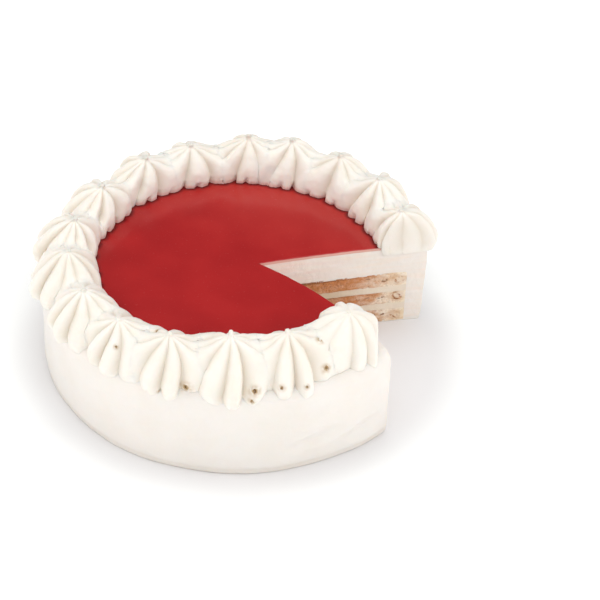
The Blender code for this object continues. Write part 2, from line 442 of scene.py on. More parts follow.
@dataclass(frozen=True)
class WhippedCream:
    """Soft satin whipped cream, with its cut faces, fruit stains and pin holes; painted shade in its grooves,
    air holes and tips, and painted red bounce light where it stands on the jelly.
    """

    name: str
    light: Colour = (0.885, 0.843, 0.785)
    warm: Colour = (0.860, 0.793, 0.708)
    # Painted shade: the colour of the shaded grooves between lobes and of the coat's foot.
    groove: Colour = (0.640, 0.545, 0.420)
    # Painted shade inside air holes; the filling cream also takes a browner tint of it.
    hole: Colour = (0.470, 0.310, 0.150)
    # Painted shade: grey laid on the rosettes' tips, where their shaded back lobes show.
    tip: Colour = (0.560, 0.565, 0.510)
    stain: Colour = (0.800, 0.350, 0.310)
    cut: Colour = (0.870, 0.745, 0.650)
    cloud_size: float = 22 * MM
    smear_size: Triple = (30 * MM, 30 * MM, 2.6 * MM)
    froth_size: float = 0.9 * MM
    swell_size: float = 5.0 * MM
    groove_shade_share: float = 0.62
    roughness: float = 0.50
    bump: float = 0.00010

    def build(self) -> bpy.types.Material:
        """Make the material.

        Returns:
            The finished material.
        """
        board = Board(self.name)
        clouds = board.noise(self.cloud_size, detail=3.0).rise(0.35, 0.72)
        colour = board.mix(clouds * 0.55, self.light, self.warm)
        # Painted shade in the grooves, from the painted groove mask.
        colour = board.mix(board.painted("groove") * self.groove_shade_share, colour, self.groove)
        smears = board.noise(self.smear_size, detail=4.0, rough=0.6).rise(0.42, 0.66)
        colour = board.mix(board.painted("cut") * (0.12 + smears * 0.42), colour, self.cut)
        # Painted marks: real fruit stains on the cut coat and painted red bounce light on the rosettes' feet,
        # then painted shade in air holes and on the tips.
        for mark, tint in (("stain", self.stain), ("hole", self.hole), ("tip", self.tip)):
            colour = board.mix(board.painted(mark), colour, tint)
        froth = board.noise(self.froth_size, detail=3.0, rough=0.6)
        swell = board.noise(self.swell_size, detail=2.0)
        normal = board.relief((swell, 4 * self.bump), (froth, self.bump))
        return board.finish(
            Base_Color=colour,
            Roughness=self.roughness + (froth - 0.5) * 0.2,
            Normal=normal,
            Subsurface_Weight=0.35,
            Subsurface_Radius=(1.0, 0.72, 0.55),
            Subsurface_Scale=2.6 * MM,
            IOR=1.38,
            Specular_IOR_Level=0.38,
        )


@dataclass(frozen=True)
class FruitGlaze:
    """Set strawberry jelly: deep red, clear and wet, with a painted sheen towards the back right and painted
    shade round the rosettes' feet.
    """

    name: str
    deep: Colour = (0.345, 0.0065, 0.0075)
    bright: Colour = (0.400, 0.0100, 0.0105)
    painted_sheen: Colour = (0.440, 0.0260, 0.0210)
    shade: Colour = (0.110, 0.0030, 0.0045)
    smear: Colour = (0.830, 0.520, 0.440)
    cloud_size: float = 32 * MM
    pulp_size: float = 1.3 * MM
    swell_size: float = 24 * MM
    swell_height: float = 0.35 * MM
    dimple_size: float = 3.0 * MM
    dimple_height: float = 0.015 * MM
    sheen_heading: Pair = (0.50, 0.87)
    sheen_start: float = 5 * MM
    sheen_end: float = 95 * MM
    sheen_wander: float = 16 * MM

    def build(self) -> bpy.types.Material:
        """Make the material.

        Returns:
            The finished material.
        """
        board = Board(self.name)
        clouds = board.noise(self.cloud_size, detail=3.0).rise(0.30, 0.72)
        pulp = board.noise(self.pulp_size, detail=3.0, rough=0.6).rise(0.50, 0.72)
        colour = board.mix(clouds, self.deep, self.bright)
        colour = board.mix(pulp * 0.22, colour, self.deep)
        x, y, _ = board.axes()
        # Painted sheen: paler red towards the back right, standing in for the reflection of the studio light
        # on the wet jelly.
        towards = x * self.sheen_heading[0] + y * self.sheen_heading[1]
        sheen = (towards + (clouds - 0.5) * self.sheen_wander).rise(self.sheen_start, self.sheen_end)
        colour = board.mix(sheen * 0.85, colour, self.painted_sheen)
        # Painted shade round the rosettes' feet and in front of the near rosettes.
        colour = board.mix(board.painted("shade") * 0.92, colour, self.shade)
        colour = board.mix(board.painted("smear") * 0.75, colour, self.smear)
        swell = board.noise(self.swell_size, detail=1.0)
        dimples = board.noise(self.dimple_size, detail=2.0)
        normal = board.relief((swell, self.swell_height), (dimples, self.dimple_height))
        return board.finish(
            Base_Color=colour,
            Roughness=0.22 + pulp * 0.06,
            Normal=normal,
            IOR=1.38,
            Specular_IOR_Level=0.30,
            Coat_Weight=0.35,
            Coat_Roughness=0.16,
            Coat_IOR=1.38,
        )


@dataclass(frozen=True)
class SpongeCrumb:
    """Open sponge crumb: pale at the rim, soaked brown towards the middle, with browned ends."""

    name: str
    apex: Pair
    rim: float
    floor: float
    pitch: float
    thickness: float
    pale: Colour = (0.870, 0.710, 0.510)
    light: Colour = (0.920, 0.820, 0.690)
    soaked: Colour = (0.560, 0.225, 0.085)
    toast: Colour = (0.520, 0.230, 0.090)
    crust: Colour = (0.230, 0.090, 0.035)
    patch_size: Triple = (9 * MM, 9 * MM, 5 * MM)
    crumb_size: float = 1.4 * MM
    pit_size: float = 1.25 * MM
    dry_from: float = 94 * MM
    soaked_from: float = 62 * MM
    soak_wander: float = 40 * MM
    skin_reach: Pair = (95 * MM, 50 * MM)
    curl_inset: float = 6.5 * MM
    curl_height: float = 0.46
    curl_outer: Pair = (1.5 * MM, 2.2 * MM)
    curl_inner: Pair = (3.7 * MM, 2.8 * MM)
    halo_reach: Pair = (7.0 * MM, 4.0 * MM)
    spot_place: Pair = (9.0 * MM, 1.5 * MM)
    spot_reach: Pair = (2.4 * MM, 1.2 * MM)
    streak_place: Pair = (17 * MM, 5.0 * MM)
    streak_reach: Pair = (2.6 * MM, 1.2 * MM)

    def build(self) -> bpy.types.Material:
        """Make the material.

        Returns:
            The finished material.
        """
        board = Board(self.name)
        x, y, z = board.axes()
        from_apex = (x - self.apex[0]).hypot(y - self.apex[1])
        radius = x.hypot(y)
        height = ((z - self.floor) % self.pitch) / self.thickness
        patches = board.noise(self.patch_size, detail=3.0, rough=0.6)
        fine = board.noise(self.crumb_size, detail=4.0, rough=0.65)
        colour = board.mix(patches.rise(0.35, 0.65), self.pale, self.light)
        wet = (from_apex + (patches - 0.5) * self.soak_wander).rise(self.dry_from, self.soaked_from)
        colour = board.mix(wet * (0.84 + patches.rise(0.62, 0.40) * 0.16), colour, self.soaked)
        skin = (height + (fine - 0.5) * 0.25).rise(0.86, 0.97)
        skin = skin * (from_apex + patches * self.soak_wander).rise(*self.skin_reach)
        colour = board.mix(skin * 0.75, colour, self.crust)
        breaks = board.noise(1.7 * MM, detail=1.0)
        across = (board.noise((17 * MM, 17 * MM, 12 * MM), detail=1.0) - 0.5) * 16 * MM
        across = across + (patches - 0.5) * 4 * MM
        middle = (height - self.curl_height) * self.thickness
        middle = middle + (board.noise((13 * MM, 13 * MM, 9 * MM)) - 0.5) * 9 * MM
        end = radius + across - (self.rim - self.curl_inset)
        curl = end.hypot(middle * (0.75 + patches * 0.7))
        gaps = board.noise(4.6 * MM, detail=1.0).rise(0.40, 0.50)
        ring = curl.rise(*self.curl_outer) * curl.rise(*self.curl_inner) * breaks.rise(0.34, 0.46) * gaps
        spot = (end + self.spot_place[0]).hypot(middle * 2 - self.spot_place[1]).rise(*self.spot_reach)
        streak = (end + self.streak_place[0]).hypot(middle * 3 - self.streak_place[1])
        streak = streak.rise(*self.streak_reach)
        colour = board.mix(curl.rise(*self.halo_reach) * 0.25, colour, self.toast)
        colour = board.mix(ring * 0.80, colour, self.toast)
        colour = board.mix(ring * breaks.rise(0.52, 0.60) * 0.80, colour, self.crust)
        colour = board.mix((spot + streak * 0.6) * breaks.rise(0.36, 0.50) * 0.85, colour, self.crust)
        # Painted shade in the crumb's pores, stronger where it is soaked, with a faint random speckle.
        pits = board.cells(self.pit_size).rise(0.42, 0.10)
        colour = board.mix(pits * (0.10 + wet * 0.30) + fine.rise(0.55, 0.40) * 0.12, colour, self.crust)
        normal = board.relief((fine, 0.35 * MM), (1.0 - pits, 0.16 * MM))
        return board.finish(
            Base_Color=colour,
            Roughness=0.86 - wet * 0.22,
            Normal=normal,
            Subsurface_Weight=0.15,
            Subsurface_Radius=(1.0, 0.6, 0.35),
            Subsurface_Scale=1.5 * MM,
            Specular_IOR_Level=0.25,
        )


@dataclass(frozen=True)
class StudioFloor:
    """Plain pale studio sheet, with painted shade near the cake and a painted glow that brings it to white
    farther out.
    """

    name: str
    colour: Colour = (0.90, 0.90, 0.90)
    patch_colour: Colour = (0.86, 0.86, 0.87)
    contact_shade_colour: Colour = (0.82, 0.81, 0.82)
    contact_shade_reach: Pair = (146 * MM, 121 * MM)
    glow_reach: Pair = (123 * MM, 215 * MM)
    glow: float = 0.34

    def build(self) -> bpy.types.Material:
        """Make the material.

        Returns:
            The finished material.
        """
        board = Board(self.name)
        patches = board.noise(400 * MM, detail=2.0)
        x, y, _ = board.axes()
        radius = x.hypot(y)
        sheet = board.mix(patches * 0.04, self.colour, self.patch_colour)
        return board.finish(
            # Painted shade on the floor round the cake's foot.
            Base_Color=board.mix(radius.rise(*self.contact_shade_reach), sheet, self.contact_shade_colour),
            Roughness=0.85,
            Specular_IOR_Level=0.1,
            # Painted light: the sheet glows more the farther it is from the cake.
            Emission_Color=board.mix(radius.rise(*self.glow_reach), (0.0, 0.0, 0.0), (1.0, 1.0, 1.0)),
            Emission_Strength=self.glow,
        )


@dataclass
class PhotoCamera:
    """The camera that took the photograph, worked out from the cake's round outlines."""

    lens: float = 108.0
    sensor: float = 36.0
    elevation: float = math.radians(39.9)
    distance: float = 1.1376
    roll: float = math.radians(-0.90)
    base_pixel: Pair = (238.8, 343.6)

    def _focal(self) -> float:
        """Focal length in pixels of the photograph."""
        return self.lens / self.sensor * PHOTO_WIDTH

    def eye(self) -> Vector:
        """Where the camera stands."""
        return Vector((0.0, -math.cos(self.elevation), math.sin(self.elevation))) * self.distance

    def turn(self) -> Matrix:
        """Which way the camera points, as a turn from looking straight down.

        Returns:
            A 3 by 3 rotation.
        """
        yaw = math.atan2(self.base_pixel[0] - PHOTO_WIDTH / 2, self._focal())
        pitch = math.atan2(self.base_pixel[1] - PHOTO_HEIGHT / 2, self._focal())
        aim = Matrix.Rotation(math.pi / 2 - self.elevation, 3, "X")
        level = aim @ Matrix.Rotation(yaw, 3, "Y") @ Matrix.Rotation(pitch, 3, "X")
        return level @ Matrix.Rotation(-self.roll, 3, "Z")

    def ray(self, pixel: Pair) -> Vector:
        """Direction of the line of sight through a pixel of the photograph.

        Args:
            pixel: Pixel from the left and from the top.

        Returns:
            A direction of length 1.
        """
        across = (pixel[0] - PHOTO_WIDTH / 2) / self._focal()
        down = (pixel[1] - PHOTO_HEIGHT / 2) / self._focal()
        return (self.turn() @ Vector((across, -down, -1.0))).normalized()

    def build(self) -> None:
        """Add the camera and make it the scene's own."""
        bpy.ops.object.camera_add()
        camera = bpy.context.active_object
        camera.name = "photo_camera"
        camera.data.lens = self.lens
        camera.data.sensor_width = self.sensor
        camera.data.clip_start = 0.01
        camera.matrix_world = Matrix.Translation(self.eye()) @ self.turn().to_4x4()
        bpy.context.scene.camera = camera


@dataclass
class Softbox:
    """One square studio softbox."""

    name: str
    place: Triple
    power: float
    colour: Colour = (1.0, 1.0, 1.0)
    size: float = 1.1

    def build(self) -> None:
        """Add the light, turned towards the cake."""
        bpy.ops.object.light_add(type="AREA", location=self.place)
        lamp = bpy.context.active_object
        lamp.name = self.name
        lamp.data.shape = "RECTANGLE"
        lamp.data.size = lamp.data.size_y = self.size
        lamp.data.energy = self.power
        lamp.data.color = self.colour
        lamp.rotation_euler = Vector(self.place).to_track_quat("Z", "Y").to_euler()


@dataclass
class Studio:
    """Floor, daylight fill and softboxes."""

    floor_size: float = 8.0
    fill: float = 0.26
    fill_colour: Colour = (0.92, 0.98, 1.0)
    softboxes: tuple[Softbox, ...] = (
        Softbox("front_softbox", (0.0, -1.38, 0.80), 1.5),
        Softbox("front_left_softbox", (-0.60, -1.03, 1.07), 4.0, (1.0, 0.96, 0.90)),
        Softbox("front_right_softbox", (0.45, -1.10, 1.07), 6.7),
        Softbox("left_softbox", (-1.42, -0.25, 0.68), 7.2, WARM_LIGHT),
        Softbox("right_softbox", (1.42, -0.25, 0.68), 7.8, WARM_LIGHT),
        Softbox("top_softbox", (0.10, 0.0, 1.60), 2.4, COOL_LIGHT),
        Softbox("back_softbox", (0.10, 0.55, 1.50), 6.2, (1.0, 0.98, 0.96)),
        Softbox("back_left_softbox", (-0.58, 0.34, 1.45), 4.0, COOL_LIGHT),
    )

    def build(self) -> None:
        """Add the floor, the world's light and the softboxes."""
        bpy.ops.mesh.primitive_plane_add(size=self.floor_size)
        floor = named("studio_floor")
        floor.data.materials.append(StudioFloor("studio_sheet").build())
        world = bpy.data.worlds.new("studio_daylight")
        world.use_nodes = True
        sky = world.node_tree.nodes["Background"]
        sky.inputs["Color"].default_value = (*self.fill_colour, 1.0)
        sky.inputs["Strength"].default_value = self.fill
        scene = bpy.context.scene
        scene.world = world
        scene.view_settings.view_transform = "Standard"
        for softbox in self.softboxes:
            softbox.build()


@dataclass
class WedgeCut:
    """The two knife cuts that meet near the middle, seen from above."""

    apex: Pair = (12.4 * MM, 4.1 * MM)
    far_heading: float = math.radians(12.4)
    far_bulge: float = 1.7 * MM
    near_heading: float = math.radians(-48.2)
    near_bulge: float = 7.7 * MM
    reach: float = 116 * MM
    margin: float = 45 * MM
    arc_steps: int = 60
    measure_step: float = 1.5 * MM
    face_depth: float = 1.6 * MM

    def _side(self, heading: float, bulge: float) -> np.ndarray:
        """Trace one cut from the apex out past the rim.

        Args:
            heading: Direction of the cut's chord.
            bulge: How far the cut swells to the left of its heading.

        Returns:
            Rows of x and y.
        """
        along = np.array((math.cos(heading), math.sin(heading)))
        left = np.array((-along[1], along[0]))
        share = np.linspace(0.0, 1.0, self.arc_steps + 1)[:, None]
        arc = np.array(self.apex) + along * share * self.reach + left * bulge * 4 * share * (1 - share)
        end = arc[-1] + (arc[-1] - arc[-2]) / np.linalg.norm(arc[-1] - arc[-2]) * self.margin
        return np.vstack((arc, end))

    def _trimmed(self, line: np.ndarray, radius: float | None) -> np.ndarray:
        """End a cut where it reaches a radius.

        Args:
            line: Rows of x and y from the apex outwards.
            radius: Distance from the cake's centre, or None to keep the whole cut.

        Returns:
            The shortened rows.
        """
        if radius is None:
            return line
        distance = radii(line)
        last = int(np.argmax(distance > radius))
        share = (radius - distance[last - 1]) / (distance[last] - distance[last - 1])
        end = line[last - 1] + share * (line[last] - line[last - 1])
        end *= radius / np.hypot(*end)
        return np.vstack((line[:last], end))

    def trace(self, spacing: float, radius: float | None = None) -> tuple[np.ndarray, np.ndarray, np.ndarray]:
        """Trace both cuts from the near rim through the apex to the far rim.

        Args:
            spacing: Distance between two points.
            radius: Where both cuts end, or None to run on past the rim.

        Returns:
            Rows of x and y, the length along the cut from the apex, and the directions into the gap.
        """
        sides = []
        for heading, bulge in ((self.near_heading, self.near_bulge), (self.far_heading, self.far_bulge)):
            line = self._trimmed(self._side(heading, bulge), radius)
            lengths = np.concatenate(((0.0,), np.cumsum(np.hypot(*np.diff(line, axis=0).T))))
            stops = np.linspace(0.0, lengths[-1], max(2, round(lengths[-1] / spacing)) + 1)
            points = np.stack([np.interp(stops, lengths, line[:, axis]) for axis in (0, 1)], axis=1)
            sides.append((points, stops))
        (near, near_stops), (far, far_stops) = sides
        points = np.vstack((near[::-1], far[1:]))
        stops = np.concatenate((-near_stops[::-1], far_stops[1:]))
        heading = np.gradient(points, axis=0)
        inward = np.stack((heading[:, 1], -heading[:, 0]), axis=1)
        return points, stops, inward / radii(inward)[:, None]

    def measure(self, points: np.ndarray) -> tuple[np.ndarray, np.ndarray]:
        """Measure points against the nearer cut, seen from above.

        Args:
            points: Rows of x, y and z.

        Returns:
            How deep each point lies in the cake, below 0 in the gap, and the nearest cut's direction
            into the gap.
        """
        line = self.trace(self.measure_step)[0]
        best = np.full(len(points), np.inf)
        depth = np.zeros(len(points))
        normals = np.zeros((len(points), 2))
        for start, end in zip(line[:-1], line[1:]):
            along = (end - start) / np.linalg.norm(end - start)
            normal = np.array((along[1], -along[0]))
            offset = points[:, :2] - start
            gap = offset - np.clip(offset @ along, 0.0, np.linalg.norm(end - start))[:, None] * along
            distance = radii(gap)
            nearer = distance < best
            best[nearer] = distance[nearer]
            depth[nearer] = -np.copysign(distance, offset @ normal)[nearer]
            normals[nearer] = normal
        return depth, normals

    def distance(self, points: np.ndarray) -> np.ndarray:
        """How far points are from the nearer cut, seen from above."""
        return np.abs(self.measure(points)[0])

    def on_face(self, points: np.ndarray, full: float = 0.6 * MM) -> np.ndarray:
        """1 for points within a full distance of a cut face, and 0 for those farther inside."""
        return ramp(self.distance(points), self.face_depth, full)

    def from_apex(self, points: np.ndarray) -> np.ndarray:
        """How far points are from where the two cuts meet, seen from above."""
        return radii(points[:, :2] - self.apex)

    def sheet(
        self,
        name: str,
        spacing: float,
        heights: tuple[Callable[[np.ndarray], np.ndarray], Callable[[np.ndarray], np.ndarray]],
        rows: int,
        relief: Relief,
        radius: float | None = None,
    ) -> bpy.types.Object:
        """Stand a fine sheet along both cuts.

        Args:
            name: The sheet's name.
            spacing: Distance between two columns.
            heights: Lower and upper edge as functions of the length along the cut.
            rows: Number of faces from the lower to the upper edge.
            relief: How far each point stands out into the gap.
            radius: Where the sheet ends, or None to run on past the rim.

        Returns:
            The sheet, open at all its edges.
        """
        line, stops, inward = self.trace(spacing, radius)
        bpy.ops.mesh.primitive_grid_add(x_subdivisions=len(line) - 1, y_subdivisions=rows, size=1.0)
        sheet = named(name)
        flat = read_points(sheet)
        column = np.rint((flat[:, 0] + 0.5) * (len(line) - 1)).astype(int)
        low, high = (edge(stops)[column] for edge in heights)
        level = low + (flat[:, 1] + 0.5) * (high - low)
        places = np.column_stack((line[column], level))
        depth = relief(places) * ends(stops)[column]
        places[:, :2] += inward[column] * depth[:, None]
        write_points(sheet, places)
        return sheet

    def cutter(
        self, name: str, spacing: float, low: float, high: float, rows: int, relief: Relief
    ) -> bpy.types.Object:
        """Make the closed solid that takes the wedge out of a piece.

        Args:
            name: The cutter's name.
            spacing: Distance between two columns of its walls.
            low: Height of its underside.
            high: Height of its top.
            rows: Number of faces from low to high.
            relief: How far the cut face stands out into the gap.

        Returns:
            The closed cutter.
        """
        edges = (lambda stops: np.full(len(stops), low), lambda stops: np.full(len(stops), high))
        cutter = self.sheet(name, spacing, edges, rows, relief)
        close_sheet(cutter)
        return cutter


def upright(edge: bmesh.types.BMEdge) -> bool:
    """Whether an edge on a sheet's border runs up and down."""
    rise = edge.verts[0].co - edge.verts[1].co
    return edge.is_boundary and abs(rise.z) > math.hypot(rise.x, rise.y)


def turn_outwards() -> None:
    """Turn all faces of the piece in edit mode outwards."""
    bpy.ops.mesh.select_all(action="SELECT")
    bpy.ops.mesh.normals_make_consistent(inside=False)


def close_sheet(sheet: bpy.types.Object) -> None:
    """Close a standing sheet into a solid: across its two ends, then over its top and underside.

    Args:
        sheet: The standing sheet.
    """
    with editing(sheet):
        choose(sheet, upright)
        bpy.ops.mesh.bridge_edge_loops()
        cap_and_turn(sheet)


def cap_and_turn(piece: bpy.types.Object) -> None:
    """Close every hole of a piece in edit mode and turn its faces outwards.

    Args:
        piece: The mesh object that is open in edit mode.
    """
    heights = [vertex.co.z for vertex in bmesh.from_edit_mesh(piece.data).verts]
    middle = (min(heights) + max(heights)) / 2
    for upper in (True, False):
        choose(piece, lambda edge: edge.is_boundary and (edge.verts[0].co.z > middle) == upper)
        bpy.ops.mesh.fill(use_beauty=False)
    turn_outwards()


@dataclass
class CreamCoat:
    """The whipped cream that covers the cake, smoothed with a palette knife."""

    radius: float = 120 * MM
    height: float = 60 * MM
    rim_rounding: float = 7 * MM
    rim_segments: int = 12
    foot_rounding: float = 1.5 * MM
    foot_segments: int = 3
    columns: int = 480
    rows: int = 56
    drum_columns: int = 240
    layer_radius: float = 109 * MM
    base_coat: float = 1.0 * MM
    layer_top: float = 38.5 * MM
    glaze_radius: float = 95 * MM
    glaze_thickness: float = 2.0 * MM
    wobble: float = 0.7 * MM
    waves: tuple[tuple[float, int, float], ...] = ((0.6, 2, 0.7), (0.4, 5, -1.1), (0.35, 9, 2.4))
    wobble_start: float = 0.9
    smears: tuple[tuple[float, Triple, float], ...] = (
        (0.55 * MM, (26 * MM, 26 * MM, 13 * MM), 3.1), (0.22 * MM, (9 * MM, 9 * MM, 5 * MM), 7.7),
    )
    scrape: float = 0.10 * MM
    scrape_size: Triple = (24 * MM, 24 * MM, 1.5 * MM)
    scrape_patch: Triple = (40 * MM, 40 * MM, 16 * MM)
    base_band: float = 4.6 * MM
    band_step: float = 0.50 * MM
    dents: tuple[tuple[float, float, float, float], ...] = (
        (-52.0, 15.5, 0.20, 3.2), (-68.5, 19.5, 0.24, 2.8), (-118.0, 25.0, 0.30, 0.7),
        (-152.0, 33.0, 0.45, 0.7), (172.0, 24.0, -0.40, 0.6), (121.0, 31.0, 0.35, 0.7),
        (70.0, 19.0, -0.30, 0.6), (38.0, 33.0, 0.40, 0.5),
    )
    dent_length: float = 13 * MM
    dent_width: float = 4 * MM
    stain_reach: float = 75 * MM
    streak_size: Triple = (20 * MM, 20 * MM, 2.2 * MM)

    def _block(self) -> bpy.types.Object:
        """Turn a plain drum into the rounded body.

        Returns:
            The body with a fine side wall.
        """
        bpy.ops.mesh.primitive_cylinder_add(
            vertices=self.columns, radius=self.radius, depth=self.height, location=(0.0, 0.0, self.height / 2)
        )
        body = named("cream_coat")
        bpy.ops.object.transform_apply(location=True, rotation=True, scale=True)
        with editing(body):
            choose(body, lambda edge: all(v.co.z > self.height - TOUCH for v in edge.verts))
            bpy.ops.mesh.bevel(offset=self.rim_rounding, segments=self.rim_segments, affect="EDGES")
            choose(body, lambda edge: all(v.co.z < TOUCH for v in edge.verts))
            bpy.ops.mesh.bevel(offset=self.foot_rounding, segments=self.foot_segments, affect="EDGES")
            choose(body, lambda edge: abs(edge.verts[0].co.z - edge.verts[1].co.z) > self.height / 2)
            bpy.ops.mesh.subdivide(number_cuts=self.rows)
        return body

    def _side_relief(self, points: np.ndarray) -> np.ndarray:
        """How far the side stands out from a true round.

        Args:
            points: Rows of x, y and z.

        Returns:
            A distance for each point.
        """
        angle = np.arctan2(points[:, 1], points[:, 0])
        climb = points[:, 2] / self.height
        depth = self.wobble * sum(
            size * np.sin(count * angle + start + climb * count / 2) for size, count, start in self.waves
        )
        depth += bumps(points, self.smears)
        drag = ramp(grain(points, self.scrape_patch, 11.3), -0.25, 0.35)
        depth += self.scrape * drag * grain(points, self.scrape_size, 5.9)
        depth -= self.band_step * self._band(points, 0.9 * MM)
        for bearing, height, slope, size in self.dents:
            across = bearings(points, math.radians(bearing)) * self.radius
            up = points[:, 2] - height * MM - slope * across
            trough = np.exp(-((across / self.dent_length) ** 2)) * np.exp(-((up / self.dent_width) ** 2))
            depth -= size * MM * trough
        return depth

    def _band(self, points: np.ndarray, soft: float) -> np.ndarray:
        """1 on the band at the side's foot and 0 above it, with an edge that is soft both ways."""
        return ramp(points[:, 2], self.base_band + soft, self.base_band - soft)

    def build(self, cut: WedgeCut, knife: bpy.types.Object) -> bpy.types.Object:
        """Make the coat, with room for the layers and the glaze.

        Args:
            cut: The two knife cuts.
            knife: The cutter that takes the wedge out.

        Returns:
            The finished mesh.
        """
        coat = self._block()
        points = read_points(coat)
        radius = radii(points)
        share = ramp(radius / self.radius, self.wobble_start, 1.0)
        grow = 1 + share * self._side_relief(points) / np.maximum(radius, self.radius / 2)
        points[:, :2] *= grow[:, None]
        write_points(coat, points)
        carve(coat, knife, keep=True)
        room = self.layer_top - self.base_coat
        carve(coat, self._drum("layer_room", self.layer_radius, self.base_coat, room))
        recess = self.height - self.glaze_thickness
        carve(coat, self._drum("glaze_room", self.glaze_radius, recess, 2 * self.glaze_thickness))
        points = read_points(coat)
        on_cut = cut.on_face(points)
        paint(coat, "cut", on_cut)
        bleed = 0.30 * ramp(cut.from_apex(points), self.stain_reach, 0.0)
        bleed += 0.35 * ramp(points[:, 2], self.height - 3 * MM, self.height)
        bleed *= ramp(radii(points), self.glaze_radius + 1 * MM, self.glaze_radius - 6 * MM)
        streaks = 0.6 + 0.8 * grain(points, self.streak_size, 8.3)
        upper = ramp(points[:, 2], 30 * MM, 44 * MM)
        paint(coat, "stain", on_cut * np.clip(bleed * streaks, 0.0, 0.7) * upper)
        # Painted shade at the side's foot, darkest at the very base, where the cream meets the floor.
        band = self._band(points, 0.8 * MM) * (1 - on_cut)
        paint(coat, "groove", 0.26 * band + 0.30 * band * ramp(points[:, 2], 1.6 * MM, 0.4 * MM))
        shade(coat)
        return coat

    def _drum(self, name: str, radius: float, low: float, height: float) -> bpy.types.Object:
        """Add a plain round cutter.

        Args:
            name: Its name.
            radius: Its radius.
            low: Height of its underside.
            height: Its height.

        Returns:
            The cutter.
        """
        bpy.ops.mesh.primitive_cylinder_add(
            vertices=self.drum_columns, radius=radius, depth=height, location=(0.0, 0.0, low + height / 2)
        )
        return named(name)


class Filling(Enum):
    """What a layer is made of, by the name of its finish."""

    SPONGE = "sponge"
    CREAM = "filling"


@dataclass(frozen=True)
class Tears:
    """Small pits torn into a cut face, gathered in patches."""

    depth: float
    size: float
    seed: float
    patch: float
    patch_seed: float
    patch_edge: Pair

    def read(self, points: np.ndarray) -> np.ndarray:
        """Depth of the pits at each point."""
        patches = ramp(grain(points, self.patch, self.patch_seed), *self.patch_edge)
        return self.depth * pores(points, self.size, self.seed) * patches


@dataclass
class Layer:
    """One layer of sponge or cream that shows at the cut."""

    node: str
    kind: Filling
    low: float
    high: float
    radius: float
    spacing: float = 0.42 * MM
    proud: float = 0.10 * MM
    wave: float = 0.45 * MM
    wave_levels: tuple[tuple[float, float, float], ...] = ((1.0, 13 * MM, 1.7), (0.45, 4 * MM, 4.3))
    crumb: tuple[tuple[float, float, float], ...] = ((0.30 * MM, 3.2 * MM, 2.2), (0.16 * MM, 1.1 * MM, 8.8))
    smears: tuple[tuple[float, Size, float], ...] = (
        (0.22 * MM, (16 * MM, 16 * MM, 1.9 * MM), 6.1), (0.10 * MM, 1.6 * MM, 4.4),
    )
    cream_sink: float = 0.15 * MM
    crumb_tears: Tears = Tears(0.55 * MM, 2.3 * MM, 5.5, 6 * MM, 9.1, (-0.35, 0.2))
    cream_tears: Tears = Tears(0.35 * MM, 5.5 * MM, 7.3, 9 * MM, 1.9, (0.1, 0.4))
    pin_depth: float = 0.30 * MM
    pin_size: float = 1.15 * MM
    turns: int = 90

    def _edge(self, level: float) -> Callable[[np.ndarray], np.ndarray]:
        """Make the uneven line between this layer and the next.

        Args:
            level: The line's mean height, which also picks its pattern, so that both layers share it.

        Returns:
            The line's height as a function of the length along the cut.
        """
        def height(stops: np.ndarray) -> np.ndarray:
            """Height of the line at each length along the cut."""
            spots = np.column_stack((stops, np.full(len(stops), level * 9), np.zeros(len(stops))))
            return level + self.wave * ends(stops) * bumps(spots, self.wave_levels)

        return height

    def _relief(self, places: np.ndarray) -> np.ndarray:
        """How far the cut face stands out: torn crumb for sponge, knife smears for cream.

        Args:
            places: Rows of x, y and z.

        Returns:
            A distance for each point.
        """
        if self.kind is Filling.SPONGE:
            depth = bumps(places, self.crumb) - self.crumb_tears.read(places)
            depth -= self.pin_depth * pores(places, self.pin_size, 3.3)
        else:
            depth = bumps(places, self.smears) - self.cream_sink - self.cream_tears.read(places)
        return self.proud + depth

    def build(self, cut: WedgeCut) -> bpy.types.Object:
        """Make the layer: a fine cut face, turned round the cake's axis into a whole layer.

        Args:
            cut: The two knife cuts.

        Returns:
            The finished mesh.
        """
        rows = max(8, round((self.high - self.low) / self.spacing))
        edges = (self._edge(self.low), self._edge(self.high))
        layer = cut.sheet(self.node + "_cake", self.spacing, edges, rows, self._relief, self.radius)
        near, far = (cut.trace(self.spacing, self.radius)[0][end] for end in (0, -1))
        start = math.atan2(far[1], far[0])
        sweep = (math.atan2(near[1], near[0]) - start) % (2 * math.pi)
        with editing(layer):
            choose(layer, lambda edge: upright(edge) and (edge.verts[0].co.xy - Vector(far)).length < 1 * MM)
            bpy.ops.mesh.spin(steps=self.turns, angle=sweep, center=(0.0, 0.0, 0.0), axis=(0.0, 0.0, -1.0))
            choose(layer, upright)
            bpy.ops.mesh.remove_doubles(threshold=TOUCH / 2)
            cap_and_turn(layer)
        points = read_points(layer)
        paint(layer, "cut", cut.on_face(points))
        # A browner tint on the filling cream, stronger towards where the cuts meet; the sponge's material
        # does not read it.
        paint(layer, "hole", 0.15 + 0.42 * ramp(cut.from_apex(points), 85 * MM, 35 * MM))
        shade(layer)
        return layer


